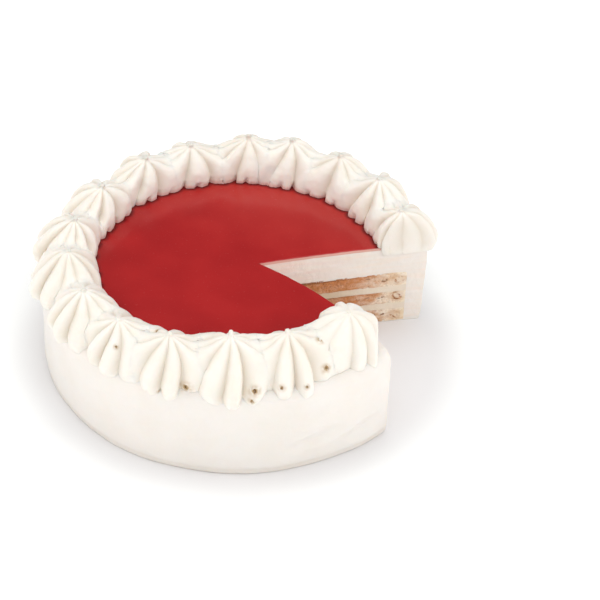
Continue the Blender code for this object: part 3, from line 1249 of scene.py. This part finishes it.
@dataclass
class Glaze:
    """The red jelly let into the top cream."""

    radius: float = 95 * MM
    top: float = 60 * MM
    thickness: float = 2.0 * MM
    lip: float = 0.7 * MM
    fine_step: float = 0.8 * MM
    fine_rings: int = 24
    wide_step: float = 3.6 * MM
    columns: int = 400
    swell: float = 0.10 * MM
    shade_width: float = 3.2 * MM
    front_shade: float = 6.0 * MM
    front_share: float = 0.30

    def _lip_relief(self, places: np.ndarray) -> np.ndarray:
        """Draw the cut edge in towards its top, where the jelly rounds off.

        Args:
            places: Rows of x, y and z.

        Returns:
            A distance for each point.
        """
        climb = np.clip((places[:, 2] - (self.top - self.lip)) / self.lip, 0.0, 1.0)
        ragged = 0.25 * MM * grain(places, 5 * MM, 2.9)
        return ragged - self.lip * (1 - np.sqrt(np.maximum(1 - climb ** 2, 0.0)))

    def build(self, cut: WedgeCut) -> bpy.types.Object:
        """Make the glaze from a disc in rings.

        Args:
            cut: The two knife cuts.

        Returns:
            The finished mesh.
        """
        bpy.ops.mesh.primitive_circle_add(
            vertices=self.columns, radius=self.radius, fill_type="NGON", location=(0.0, 0.0, self.top)
        )
        glaze = named("fruit_glaze")
        bpy.ops.object.transform_apply(location=True, rotation=True, scale=True)
        with editing(glaze):
            bpy.ops.mesh.select_mode(type="FACE")
            bpy.ops.mesh.select_all(action="SELECT")
            for _ in range(self.fine_rings):
                bpy.ops.mesh.inset(thickness=self.fine_step)
            inside = self.radius - self.fine_rings * self.fine_step
            for _ in range(int(inside / self.wide_step) - 1):
                bpy.ops.mesh.inset(thickness=self.wide_step)
            bpy.ops.mesh.select_all(action="SELECT")
            drop = {"value": (0.0, 0.0, -self.thickness)}
            bpy.ops.mesh.extrude_region_move(TRANSFORM_OT_translate=drop)
            turn_outwards()
        low, high = self.top - 2 * self.thickness, self.top + 0.4 * MM
        knife = cut.cutter("glaze_knife", 0.9 * MM, low, high, rows=24, relief=self._lip_relief)
        carve(glaze, knife)
        points = read_points(glaze)
        upper = points[:, 2] > self.top - TOUCH / 2
        points[upper, 2] += self.swell * grain(points[upper] * (1, 1, 0), 21 * MM, 6.6)
        write_points(glaze, points)
        below_lip = ramp(points[:, 2], self.top - TOUCH / 2, self.top - 0.6 * MM)
        paint(glaze, "smear", below_lip * cut.on_face(points, 0.8 * MM))
        shade(glaze, 35.0)
        return glaze

    def shade_under(self, glaze: bpy.types.Object, rosettes: list[bpy.types.Object]) -> None:
        """Paint shade on the jelly where the piped cream stands on it, and soft painted shade in front of the
        near rosettes.

        Args:
            glaze: The finished glaze.
            rosettes: The finished rosettes.
        """
        feet = np.concatenate([read_points(rosette) for rosette in rosettes])
        near = (feet[:, 2] > self.top) & (feet[:, 2] < self.top + 1.5 * MM)
        feet = feet[near & (radii(feet) < self.radius)]
        tree = KDTree(len(feet))
        for number, place in enumerate(feet):
            tree.insert(place, number)
        tree.balance()
        points = read_points(glaze)
        gaps = np.array([tree.find(place)[2] for place in points])
        front = ramp(-points[:, 1] / np.maximum(radii(points), MM), 0.1, 0.8)
        # Painted shade: a dark rim under the rosettes' feet and a soft band in front of the near ones.
        soft = ramp(gaps, self.shade_width + self.front_shade, self.front_shade / 2)
        under = ramp(gaps, self.shade_width, 0.5 * MM)
        paint(glaze, "shade", np.maximum(under, self.front_share * front * soft))


@dataclass
class RosetteRing:
    """The piped cream rosettes on the rim, counted clockwise from the near side of the wedge."""

    rim_height: float = 60 * MM
    tip_radius: float = 101 * MM
    inner_reach: float = 88 * MM
    outer_reach: float = 125 * MM
    width: float = 54 * MM
    height: float = 28.5 * MM
    skirt: float = 6 * MM
    first_angle: float = -52.0
    angle_step: float = -20.0
    angle_nudges: tuple[int, ...] = (2, -1, 0, 0, 3, 4, 3, 4, 2, -1, 0, 0, 4, 5, 6, 9)
    tip_nudges: tuple[int, ...] = (-3, -2, -3, 3, 6, 5, 2, -1, -3, -1, 1, 3, 4, 3, 4, 2)
    height_nudges: tuple[int, ...] = (2, 2, 2, 0, -1, 0, 0, -1, -2, -2, -3, 0, 1, 1, 1, -2)
    inner_nudges: tuple[int, ...] = (-9, -8, -8, -7, -5, -4, -3, 0, -1, 0, 0, 1, 0, 1, 0, 0)
    outer_nudges: tuple[int, ...] = (-6, -4, 0, 0, 0, 2, 3, 3, 1, 0, 0, 0, 0, 0, 1, 4)
    turn_nudges: tuple[int, ...] = (0, 17, 0, 0, 0, 0, 0, 0, 0, 0, 0, 0, 0, 0, 0, 0)
    nubs: tuple[float, ...] = (0.4, 0.9, 1.1, 0.9, 0.6, 0.5, 0.5, 0.7, 0.9, 0.8, 0.9, 1.1, 0.9, 0.8, 0.6, 0.6)
    nub_level: float = 0.86
    shoulders: tuple[float, ...] = (
        1.9, 1.1, 1.0, 0.9, 0.5, 0.3, 0.3, 0.4, 0.7, 0.8, 0.8, 0.8, 0.8, 0.9, 0.8, 0.6
    )
    fullness: tuple[float, ...] = (
        0.0, 0.0, 0.0, 0.0, 0.0, 0.1, 0.3, 0.55, 0.65, 0.65, 0.60, 0.50, 0.50, 0.60, 0.65, 0.65
    )
    free_half_width: float = 17 * MM
    overhang: float = 1.0 * MM
    yielding: float = 0.15
    overlap: float = 3.0 * MM
    fillet: float = 7.0 * MM
    fillet_reach: float = 13.0 * MM
    lobes: int = 9
    points_per_lobe: int = 26
    rings: int = 110
    lobe_roundness: float = 2.2
    lobe_belly: float = 0.075
    lobe_width_spread: float = 0.18
    lobe_reach_range: Pair = (0.95, 1.03)
    groove_width: float = 0.36
    first_softness: float = 0.72
    groove_depth: float = 0.19
    groove_spread: Pair = (0.65, 1.35)
    groove_sharpness: float = 1.25
    notch_width: float = 0.13
    notch_depth: float = 0.15
    outer_squareness: float = 2.05
    inner_squareness: float = 4.2
    foot_narrowing: float = 0.20
    lean_curve: float = 1.3
    tip_drift: float = 1.5 * MM
    twist_range: Pair = (math.radians(7), math.radians(18))
    levels: tuple[float, ...] = (1.0, 0.985, 0.95, 0.90, 0.86, 0.82, 0.75, 0.62, 0.45, 0.26, 0.07)
    outer_profile: tuple[float, ...] = (0.0, 0.045, 0.07, 0.085, 0.12, 0.18, 0.28, 0.46, 0.68, 0.88, 1.0)
    inner_profile: tuple[float, ...] = (0.0, 0.045, 0.07, 0.085, 0.14, 0.25, 0.41, 0.65, 0.85, 0.96, 1.0)
    steep_profile: tuple[float, ...] = (0.0, 0.030, 0.05, 0.062, 0.10, 0.17, 0.27, 0.47, 0.70, 0.89, 1.0)
    broad_profile: tuple[float, ...] = (0.0, 0.030, 0.05, 0.065, 0.17, 0.31, 0.48, 0.72, 0.88, 0.96, 1.0)
    blunt_profile: tuple[float, ...] = (0.0, 0.06, 0.14, 0.34, 0.58, 0.76, 0.87, 0.94, 0.98, 1.0, 1.0)
    visible_share: float = 0.80
    lumps: tuple[tuple[float, float], ...] = ((0.60 * MM, 8 * MM), (0.22 * MM, 3 * MM))
    foot_lumps: Pair = (0.75, 5 * MM)
    drag_height: float = 0.18 * MM
    front_tip_shade: float = 0.20
    back_tip_shade: float = 0.48
    first_back: int = 5
    red_bounce_share: float = 0.70
    bubbles: tuple[Pair, ...] = ((1.0, 0.0), (0.62, 1.0), (0.45, 1.5))
    bubble_sink: float = 0.45
    seed: int = 11
    photo_holes: tuple[tuple[Pair, float], ...] = (
        ((160, 390), 0.9), ((186, 387), 1.5), ((255, 391), 1.4), ((252, 401), 1.0), ((282, 388), 0.9),
        ((307, 387), 0.7), ((320, 340), 1.1), ((326, 368), 1.3), ((157, 331), 0.9), ((95, 371), 0.8),
    )
    draw: random.Random = field(default_factory=lambda: random.Random(11))

    def count(self) -> int:
        """Number of rosettes on what is left of the cake."""
        return len(self.angle_nudges)

    def angle(self, index: int) -> float:
        """Direction of one rosette from the cake's centre, in radians."""
        return math.radians(self.first_angle + self.angle_step * index + self.angle_nudges[index])

    def _sides(self, index: int) -> Pair:
        """Angles from a rosette's direction to where its neighbours begin.

        Args:
            index: Which rosette.

        Returns:
            The lower and the upper angle, endless on a side without a neighbour.
        """
        low = (self.angle(index + 1) - self.angle(index)) / 2 if index < self.count() - 1 else -math.inf
        high = (self.angle(index - 1) - self.angle(index)) / 2 if index > 0 else math.inf
        return low, high

    def _profile(self, place: np.ndarray, shoulder: float, fullness: float) -> tuple[np.ndarray, ...]:
        """Read the rosette's outlines from the tip to the middle of its underside.

        Args:
            place: 0 at the tip and 1 in the middle of the underside.
            shoulder: How broad its sides are under the tip. Above 1.2 its other sides turn blunt too.
            fullness: How full its outer side is, from 0 to 1.

        Returns:
            Height as a share of the full height, and the outer, inner and side reach as shares.
        """
        steps = np.clip(place / self.visible_share, 0.0, 1.0) * (len(self.levels) - 1)
        level = curve_through(self.levels, steps)
        below = np.clip((place - self.visible_share) / (1 - self.visible_share), 0.0, 1.0)
        bend = np.clip(below / 0.6, 0.0, 1.0) * math.pi / 2
        shrink = 1 - 0.16 * (1 - np.cos(bend) ** 0.8)
        shrink *= 1 - np.clip((below - 0.6) / 0.4, 0.0, 1.0)
        bottom = -self.skirt / self.height
        level = np.where(below > 0, self.levels[-1] + (bottom - self.levels[-1]) * np.sin(bend), level)
        broader = np.array(self.broad_profile) - np.array(self.steep_profile)
        side = np.minimum(np.array(self.steep_profile) + shoulder * broader, 1.0)
        blunt = min(max(shoulder - 1.2, 0.0), 1.0)
        outer = np.minimum(np.array(self.outer_profile) + blunt * broader, 1.0)
        outer = (1 - fullness) * outer + fullness * np.array(self.blunt_profile)
        inner = (1 - blunt) * np.array(self.inner_profile) + blunt * np.array(self.blunt_profile)
        profiles = (outer, inner, side)
        return level, *(curve_through(profile, steps) * shrink for profile in profiles)

    def _shape(self, ball: bpy.types.Object, index: int, cut: WedgeCut) -> None:
        """Gather a fine ball's meridians into lobes and lay its rings on the rosette's outline.

        Args:
            ball: The round ball, which becomes the rosette.
            index: Which rosette.
            cut: The two knife cuts.
        """
        angle = self.angle(index)
        outward = np.array((math.cos(angle), math.sin(angle), 0.0))
        sideways = np.array((-math.sin(angle), math.cos(angle), 0.0))
        inner_reach = self.inner_reach + self.inner_nudges[index] * MM
        outer_reach = self.outer_reach + self.outer_nudges[index] * MM
        half_length = (outer_reach - inner_reach) / 2
        foot_radius = outer_reach - half_length
        height = self.height + self.height_nudges[index] * MM
        draw = self.draw
        lean = outward * (self.tip_radius + self.tip_nudges[index] * MM - foot_radius)
        lean = lean + sideways * draw.uniform(-self.tip_drift, self.tip_drift)
        turn = draw.uniform(0, 2 * math.pi) + math.radians(self.turn_nudges[index])
        twist = draw.uniform(*self.twist_range)
        spread = self.lobe_width_spread
        widths = np.array([draw.uniform(1 - spread, 1 + spread) for _ in range(self.lobes)])
        reaches = np.array([draw.uniform(*self.lobe_reach_range) for _ in range(self.lobes)])
        widths *= 2 * math.pi / widths.sum()
        starts = np.concatenate(((0.0,), np.cumsum(widths)[:-1]))
        own = random.Random(self.seed * 100 + index)
        depths = self.groove_depth * np.array([own.uniform(*self.groove_spread) for _ in range(self.lobes)])
        soft = self.first_softness if index == 0 else 1.0
        depths *= soft

        round_points = read_points(ball)
        polar = np.arccos(np.clip(round_points[:, 2] / np.linalg.norm(round_points, axis=1), -1, 1)) / math.pi
        meridian = np.arctan2(round_points[:, 1], round_points[:, 0]) / (2 * math.pi)
        meridian = meridian * self.lobes % self.lobes
        lobe = np.floor(meridian + 1e-4).astype(int) % self.lobes
        phase = np.clip(meridian - np.floor(meridian + 1e-4), 0.0, 1.0)
        level, outer, inner, side = self._profile(polar, self.shoulders[index], self.fullness[index])
        rise = np.maximum(level, 0.0)
        bearing = starts[lobe] + phase * widths[lobe] + turn + twist * rise
        along, across = np.cos(bearing), np.sin(bearing)
        inner_share = np.maximum(-along, 0.0) ** 2

        side_share = np.where(along > 0, across ** 4 / (across ** 4 + along ** 4), across ** 2)
        outer_share = np.where(along > 0, 1 - side_share, 0.0)
        inner_foot = inner_share * ramp(level, 0.45, 0.05)
        belly = 1 - np.abs(2 * phase - 1) ** self.lobe_roundness
        valley = np.clip(1 - np.minimum(phase, 1 - phase) / self.groove_width, 0.0, 1.0)
        valley = valley ** (self.groove_sharpness + 1.2 * inner_foot)
        groove = (lobe + (phase > 0.5)) % self.lobes
        calm = ramp(level, 0.94, 0.84) * (1 - 0.40 * across ** 4)
        bulge = self.lobe_belly * (1 - belly) * (1 - 0.75 * inner_foot)
        reach = 1 - (bulge + depths[groove] * valley * (1 - 0.35 * inner_foot)) * calm
        reach *= 1 + (reaches[lobe] - 1) * belly * (1 - 0.6 * inner_foot)
        power = self.outer_squareness + (self.inner_squareness - self.outer_squareness) * inner_share
        square = np.abs(along) ** power + np.abs(across) ** power
        edge = np.minimum(np.minimum(phase, 1 - phase), np.abs(phase - 0.5))
        notch = np.clip(1 - edge / self.notch_width, 0.0, 1.0)
        reach -= self.notch_depth * notch * np.sqrt(np.maximum(-along, 0.0)) * ramp(level, 0.20, 0.04)
        profile = side_share * side + inner_share * inner + outer_share * outer
        radius = profile * reach / square ** (1 / power)
        half_width = np.full(len(radius), self.width / 2)
        if index == 0:
            half_width[across > 0] = self.free_half_width
        half_width *= 1 - self.foot_narrowing * np.maximum(along, 0.0) * ramp(level, 0.75, 0.1)

        # Painted shade on the tips, stronger on the far rosettes.
        tip_shade = ramp(level, 0.87, 0.95) * (self.back_tip_shade if index >= self.first_back else self.front_tip_shade)
        stretched = self.nub_level + (level - self.nub_level) * self.nubs[index]
        level = np.where(level > self.nub_level, stretched, level)
        places = outward * foot_radius + (0.0, 0.0, self.rim_height) + lean * rise[:, None] ** self.lean_curve
        places[:, 2] += level * height
        places += outward * (along * radius * half_length)[:, None]
        places += sideways * (across * radius * half_width)[:, None]
        self._roughen(places, phase, lobe, polar, index)
        if index == self.count() - 1:
            self._press_to_cut(places, cut)
        write_points(ball, places)
        # Painted shade in the grooves between the lobes, widest in each valley.
        groove_shade = 0.60 * valley ** 1.5 + 0.40 * np.clip(1 - np.minimum(phase, 1 - phase) / 0.5, 0.0, 1.0) ** 1.5
        paint(ball, "groove", soft ** 2 * groove_shade * calm * ramp(radius, 0.03, 0.30) * ramp(level, -0.3, 0.1))
        paint(ball, "tip", tip_shade)
        # Painted red bounce light from the jelly, low on the rosettes' feet over the glaze.
        low = ramp(places[:, 2], self.rim_height + 4.0 * MM, self.rim_height + 0.5 * MM)
        on_glaze = ramp(radii(places), inner_reach + 8 * MM, inner_reach + 3 * MM)
        clear_of_cut = ramp(cut.distance(places), 2 * MM, 8 * MM)
        paint(ball, "stain", self.red_bounce_share * low ** 1.5 * on_glaze * clear_of_cut)

    def _roughen(
        self, places: np.ndarray, phase: np.ndarray, lobe: np.ndarray, polar: np.ndarray, index: int
    ) -> None:
        """Add the soft lumps and drag lines of piped cream.

        Args:
            places: Rows of x, y and z, moved in place.
            phase: Place across the lobe.
            lobe: Which lobe.
            polar: 0 at the tip and 1 in the middle of the underside.
            index: Which rosette.
        """
        centre = places.mean(axis=0)
        away = places - centre
        away /= np.maximum(np.linalg.norm(away, axis=1), 1e-6)[:, None]
        fade = ramp(polar, 0.02, 0.25)
        (coarse, wide), (fine, narrow) = self.lumps
        lumps = bumps(places, ((coarse, wide, index * 1.3), (fine, narrow, index * 2.1)))
        foot = ramp(places[:, 2], self.rim_height + 9 * MM, self.rim_height + 1 * MM)
        lumps += foot * self.foot_lumps[0] * MM * grain(places, self.foot_lumps[1], index * 1.7)
        lines = np.column_stack((phase * 4 + lobe * 7.3, polar * 5, np.full(len(phase), index * 3.7)))
        drag = self.drag_height * grain(lines, 1.0, 0.5)
        places += away * ((lumps + drag) * fade)[:, None]

    def _fuse(self, pieces: list[bpy.types.Object]) -> None:
        """Let neighbours flow into each other, with a soft fillet at the seam and little left beyond it.

        Args:
            pieces: The rosettes in order, still whole.
        """
        trees = []
        for piece in pieces:
            mesh = bmesh.new()
            mesh.from_mesh(piece.data)
            trees.append(BVHTree.FromBMesh(mesh))
            mesh.free()
        for index, piece in enumerate(pieces):
            places = read_points(piece)
            own = np.empty(places.size, np.float32)
            piece.data.vertices.foreach_get("normal", own)
            own = own.reshape(places.shape)
            angle = self.angle(index)
            low, high = self._sides(index)
            turned = bearings(places, angle)
            distance = radii(places)
            seam = np.zeros(len(places))
            buried = np.zeros(len(places))
            moved = places.copy()
            for other, edge in ((index + 1, low), (index - 1, high)):
                if not math.isfinite(edge):
                    continue
                near = np.abs(turned - edge) * distance < self.fillet_reach
                for number in np.flatnonzero(near):
                    spot = Vector(places[number])
                    found, normal, _, gap = trees[other].find_nearest(spot)
                    if (spot - found).dot(normal) < 0:
                        buried[number] = gap
                        gap = -gap
                    close = max(0.0, 1 - abs(gap) / self.fillet)
                    if close == 0.0:
                        continue
                    between = (1 - close / 2) * own[number] + close / 2 * np.array(normal)
                    moved[number] += between * (close ** 2 * self.fillet / 4 / max(between @ between, 0.3))
                    if gap < 0:
                        moved[number] -= np.array(normal) * gap * ramp(-gap, self.overlap, 0.2 * self.overlap)
                    seam[number] = max(seam[number], close)
            turned = bearings(moved, angle)
            distance = radii(moved)
            margin = self.overlap / self.tip_radius
            kept = np.clip(turned, low - margin, high + margin)
            hidden = ramp(buried, 0.5 * self.overlap, 1.5 * self.overlap)
            direction = angle + turned + (kept - turned) * hidden * (1 - self.yielding)
            moved[:, 0] = distance * np.cos(direction)
            moved[:, 1] = distance * np.sin(direction)
            write_points(piece, moved)
            # The painted groove shade fades along the seams between rosettes.
            groove = np.empty(len(places), np.float32)
            piece.data.attributes["groove"].data.foreach_get("value", groove)
            paint(piece, "groove", groove * (1 - 0.75 * seam))

    def _press_to_cut(self, places: np.ndarray, cut: WedgeCut) -> None:
        """Squeeze the lobes that face the gap so that they end just over the cut's edge.

        Args:
            places: Rows of x, y and z, moved in place.
            cut: The two knife cuts.
        """
        depth, normals = cut.measure(places)
        tip_depth = depth[np.argmax(places[:, 2])]
        limit = tip_depth + self.overhang
        forward = np.maximum(tip_depth - depth, 0.0)
        squeezed = limit * (1 - np.exp(-forward / limit))
        places[:, :2] -= normals * (forward - squeezed)[:, None]

    def _holes(self, camera: PhotoCamera, pieces: list[bpy.types.Object]) -> dict[str, list[Hole]]:
        """Find where the air holes lie: those of the photograph, and a few more all round.

        Args:
            camera: The photograph's camera.
            pieces: The rosettes.

        Returns:
            Places, directions inwards and radii by rosette name.
        """
        draw = random.Random(self.seed + 1)
        shots = [(camera.eye(), camera.ray(pixel), size * MM) for pixel, size in self.photo_holes]
        for index in range(4, self.count(), 2):
            bearing = self.angle(index) + math.radians(draw.uniform(-8, 8))
            target = Vector((math.cos(bearing), math.sin(bearing), 0.0)) * self.tip_radius
            target.z = self.rim_height + draw.uniform(0.06, 0.5) * self.height
            spin = self.angle(index) + draw.uniform(-1.2, 1.2)
            start = target + Vector((math.cos(spin), math.sin(spin), 0.25)) * 80 * MM
            shots.append((start, (target - start).normalized(), draw.uniform(0.6, 1.1) * MM))
        found: dict[str, list[Hole]] = {}
        for start, direction, size in shots:
            hits = []
            for piece in pieces:
                struck, place, _, _ = piece.ray_cast(start, direction)
                if struck:
                    hits.append(((place - start).length, piece.name, place))
            if hits:
                _, name, place = min(hits)
                found.setdefault(name, []).append((place, direction, size))
        return found

    def _punch(self, piece: bpy.types.Object, holes: list[Hole]) -> None:
        """Open air holes in a rosette and paint shade in and round them.

        Args:
            piece: The rosette.
            holes: Places, directions inwards and radii.
        """
        draw = random.Random(len(holes) * 7 + self.seed)
        for place, direction, size in holes:
            for share, off in self.bubbles:
                drift = Vector([draw.uniform(-1, 1) * off * size for _ in range(3)])
                centre = place + direction * (self.bubble_sink * size * share) + drift
                bpy.ops.mesh.primitive_ico_sphere_add(subdivisions=3, radius=size * share, location=centre)
                bubble = named("bubble")
                bpy.ops.object.transform_apply(location=True, rotation=True, scale=True)
                points = read_points(bubble) - np.array(centre)
                points *= 1 + 0.45 * grain(points + np.array(centre), 1.1 * size, 3.3)[:, None]
                stretch = (draw.uniform(0.6, 1.0), draw.uniform(0.6, 1.0), draw.uniform(0.8, 1.5))
                write_points(bubble, points * stretch + np.array(centre))
                carve(piece, bubble)
        # Painted shade: dark inside each hole, with a blotchy smudge round it.
        points = read_points(piece)
        tint = np.zeros(len(points))
        for place, direction, size in holes:
            gap = np.linalg.norm(points - np.array(place + direction * (self.bubble_sink * size)), axis=1)
            blotches = np.clip(0.6 + 1.2 * grain(points, 1.9 * MM, 6.1), 0.0, 1.0)
            smudge = 0.60 * ramp(gap, 3.8 * size, 1.1 * size) * blotches
            tint = np.maximum(tint, np.maximum(smudge, 0.95 * ramp(gap, 1.35 * size, 1.1 * size)))
        paint(piece, "hole", tint)

    def build(self, camera: PhotoCamera, cut: WedgeCut) -> list[bpy.types.Object]:
        """Pipe the whole ring.

        Args:
            camera: The photograph's camera.
            cut: The two knife cuts.

        Returns:
            The finished rosettes, in order.
        """
        pieces = []
        for index in range(self.count()):
            bpy.ops.mesh.primitive_uv_sphere_add(
                segments=self.lobes * self.points_per_lobe, ring_count=self.rings, radius=1.0
            )
            rosette = named(f"piped_rosette_{index + 1:02d}")
            self._shape(rosette, index, cut)
            pieces.append(rosette)
        self._fuse(pieces)
        holes = self._holes(camera, pieces)
        for rosette in pieces:
            if rosette.name in holes:
                self._punch(rosette, holes[rosette.name])
            shade(rosette, 65.0)
        return pieces


@dataclass
class StrawberryCake:
    """The whole cake, piece by piece."""

    camera: PhotoCamera
    cut: WedgeCut = field(default_factory=WedgeCut)
    coat: CreamCoat = field(default_factory=CreamCoat)
    glaze: Glaze = field(default_factory=Glaze)
    ring: RosetteRing = field(default_factory=RosetteRing)
    sponge_thickness: float = 8.9 * MM
    filling_thickness: float = 4.5 * MM
    gap: float = 0.3 * MM
    lowest_sink: float = 0.3 * MM
    highest_rise: float = 0.7 * MM
    smears: tuple[tuple[float, Size, float], ...] = (
        (0.24 * MM, (22 * MM, 22 * MM, 2.4 * MM), 1.1), (0.12 * MM, 2.2 * MM, 7.9),
    )
    tears: Tears = Tears(0.30 * MM, 6.5 * MM, 2.7, 11 * MM, 5.2, (0.05, 0.4))
    stack: tuple[tuple[str, Filling], ...] = (
        ("sponge_bottom", Filling.SPONGE), ("filling_lower", Filling.CREAM),
        ("sponge_middle", Filling.SPONGE), ("filling_upper", Filling.CREAM), ("sponge_top", Filling.SPONGE),
    )

    def _smeared(self, places: np.ndarray) -> np.ndarray:
        """How far the cut cream stands out, with long smears along the knife's path and small tears."""
        return bumps(places, self.smears) - self.tears.read(places)

    def _layers(self) -> list[Layer]:
        """Work out the layers' heights, each one meeting the next.

        Returns:
            The layers from the underside up.
        """
        layers = []
        low = self.coat.base_coat + self.gap
        for node, kind in self.stack:
            thickness = self.sponge_thickness if kind is Filling.SPONGE else self.filling_thickness
            high = low + thickness + self.gap / 2
            layers.append(Layer(node, kind, low - self.gap / 2, high, self.coat.layer_radius))
            low += thickness + self.gap
        layers[0].low -= self.lowest_sink
        layers[-1].high += self.highest_rise
        return layers

    def _mount(self, piece: bpy.types.Object, node: str, finish: bpy.types.Material) -> None:
        """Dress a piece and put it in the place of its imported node.

        Args:
            piece: The finished mesh.
            node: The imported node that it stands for.
            finish: Its material.
        """
        piece.data.materials.clear()
        piece.data.materials.append(finish)
        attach(piece, "root")
        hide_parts(node)
        log.info("%s: %d faces", piece.name, len(piece.data.polygons))

    def build(self) -> None:
        """Make, dress and mount every piece."""
        pitch = self.sponge_thickness + self.filling_thickness + 2 * self.gap
        floor = self.coat.base_coat + self.gap
        finishes = {
            "icing": WhippedCream("smoothed_cream", light=(0.840, 0.797, 0.755), warm=(0.815, 0.760, 0.700)),
            "rosette": WhippedCream("piped_cream", roughness=0.46, bump=0.00007),
            "filling": WhippedCream("filling_cream", light=(0.87, 0.77, 0.64), roughness=0.55),
            "sponge": SpongeCrumb(
                "sponge_crumb", self.cut.apex, self.coat.layer_radius, floor, pitch, self.sponge_thickness
            ),
            "glaze": FruitGlaze("fruit_jelly"),
        }
        finishes = {name: finish.build() for name, finish in finishes.items()}
        knife = self.cut.cutter("knife", 0.8 * MM, low=-6 * MM, high=96 * MM, rows=128, relief=self._smeared)
        self._mount(self.coat.build(self.cut, knife), "icing", finishes["icing"])
        for layer in self._layers():
            self._mount(layer.build(self.cut), layer.node, finishes[layer.kind.value])
        glaze = self.glaze.build(self.cut)
        rosettes = self.ring.build(self.camera, self.cut)
        self.glaze.shade_under(glaze, rosettes)
        self._mount(glaze, "glaze", finishes["glaze"])
        for number, rosette in enumerate(rosettes, 1):
            self._mount(rosette, f"rosette_{number:02d}", finishes["rosette"])
        bpy.data.objects.remove(knife, do_unlink=True)


def main() -> None:
    """Load the frame, set the studio and build the cake."""
    logging.basicConfig(level=logging.INFO, format="%(message)s")
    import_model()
    camera = PhotoCamera()
    camera.build()
    Studio().build()
    StrawberryCake(camera).build()


if __name__ == "__main__":
    main()
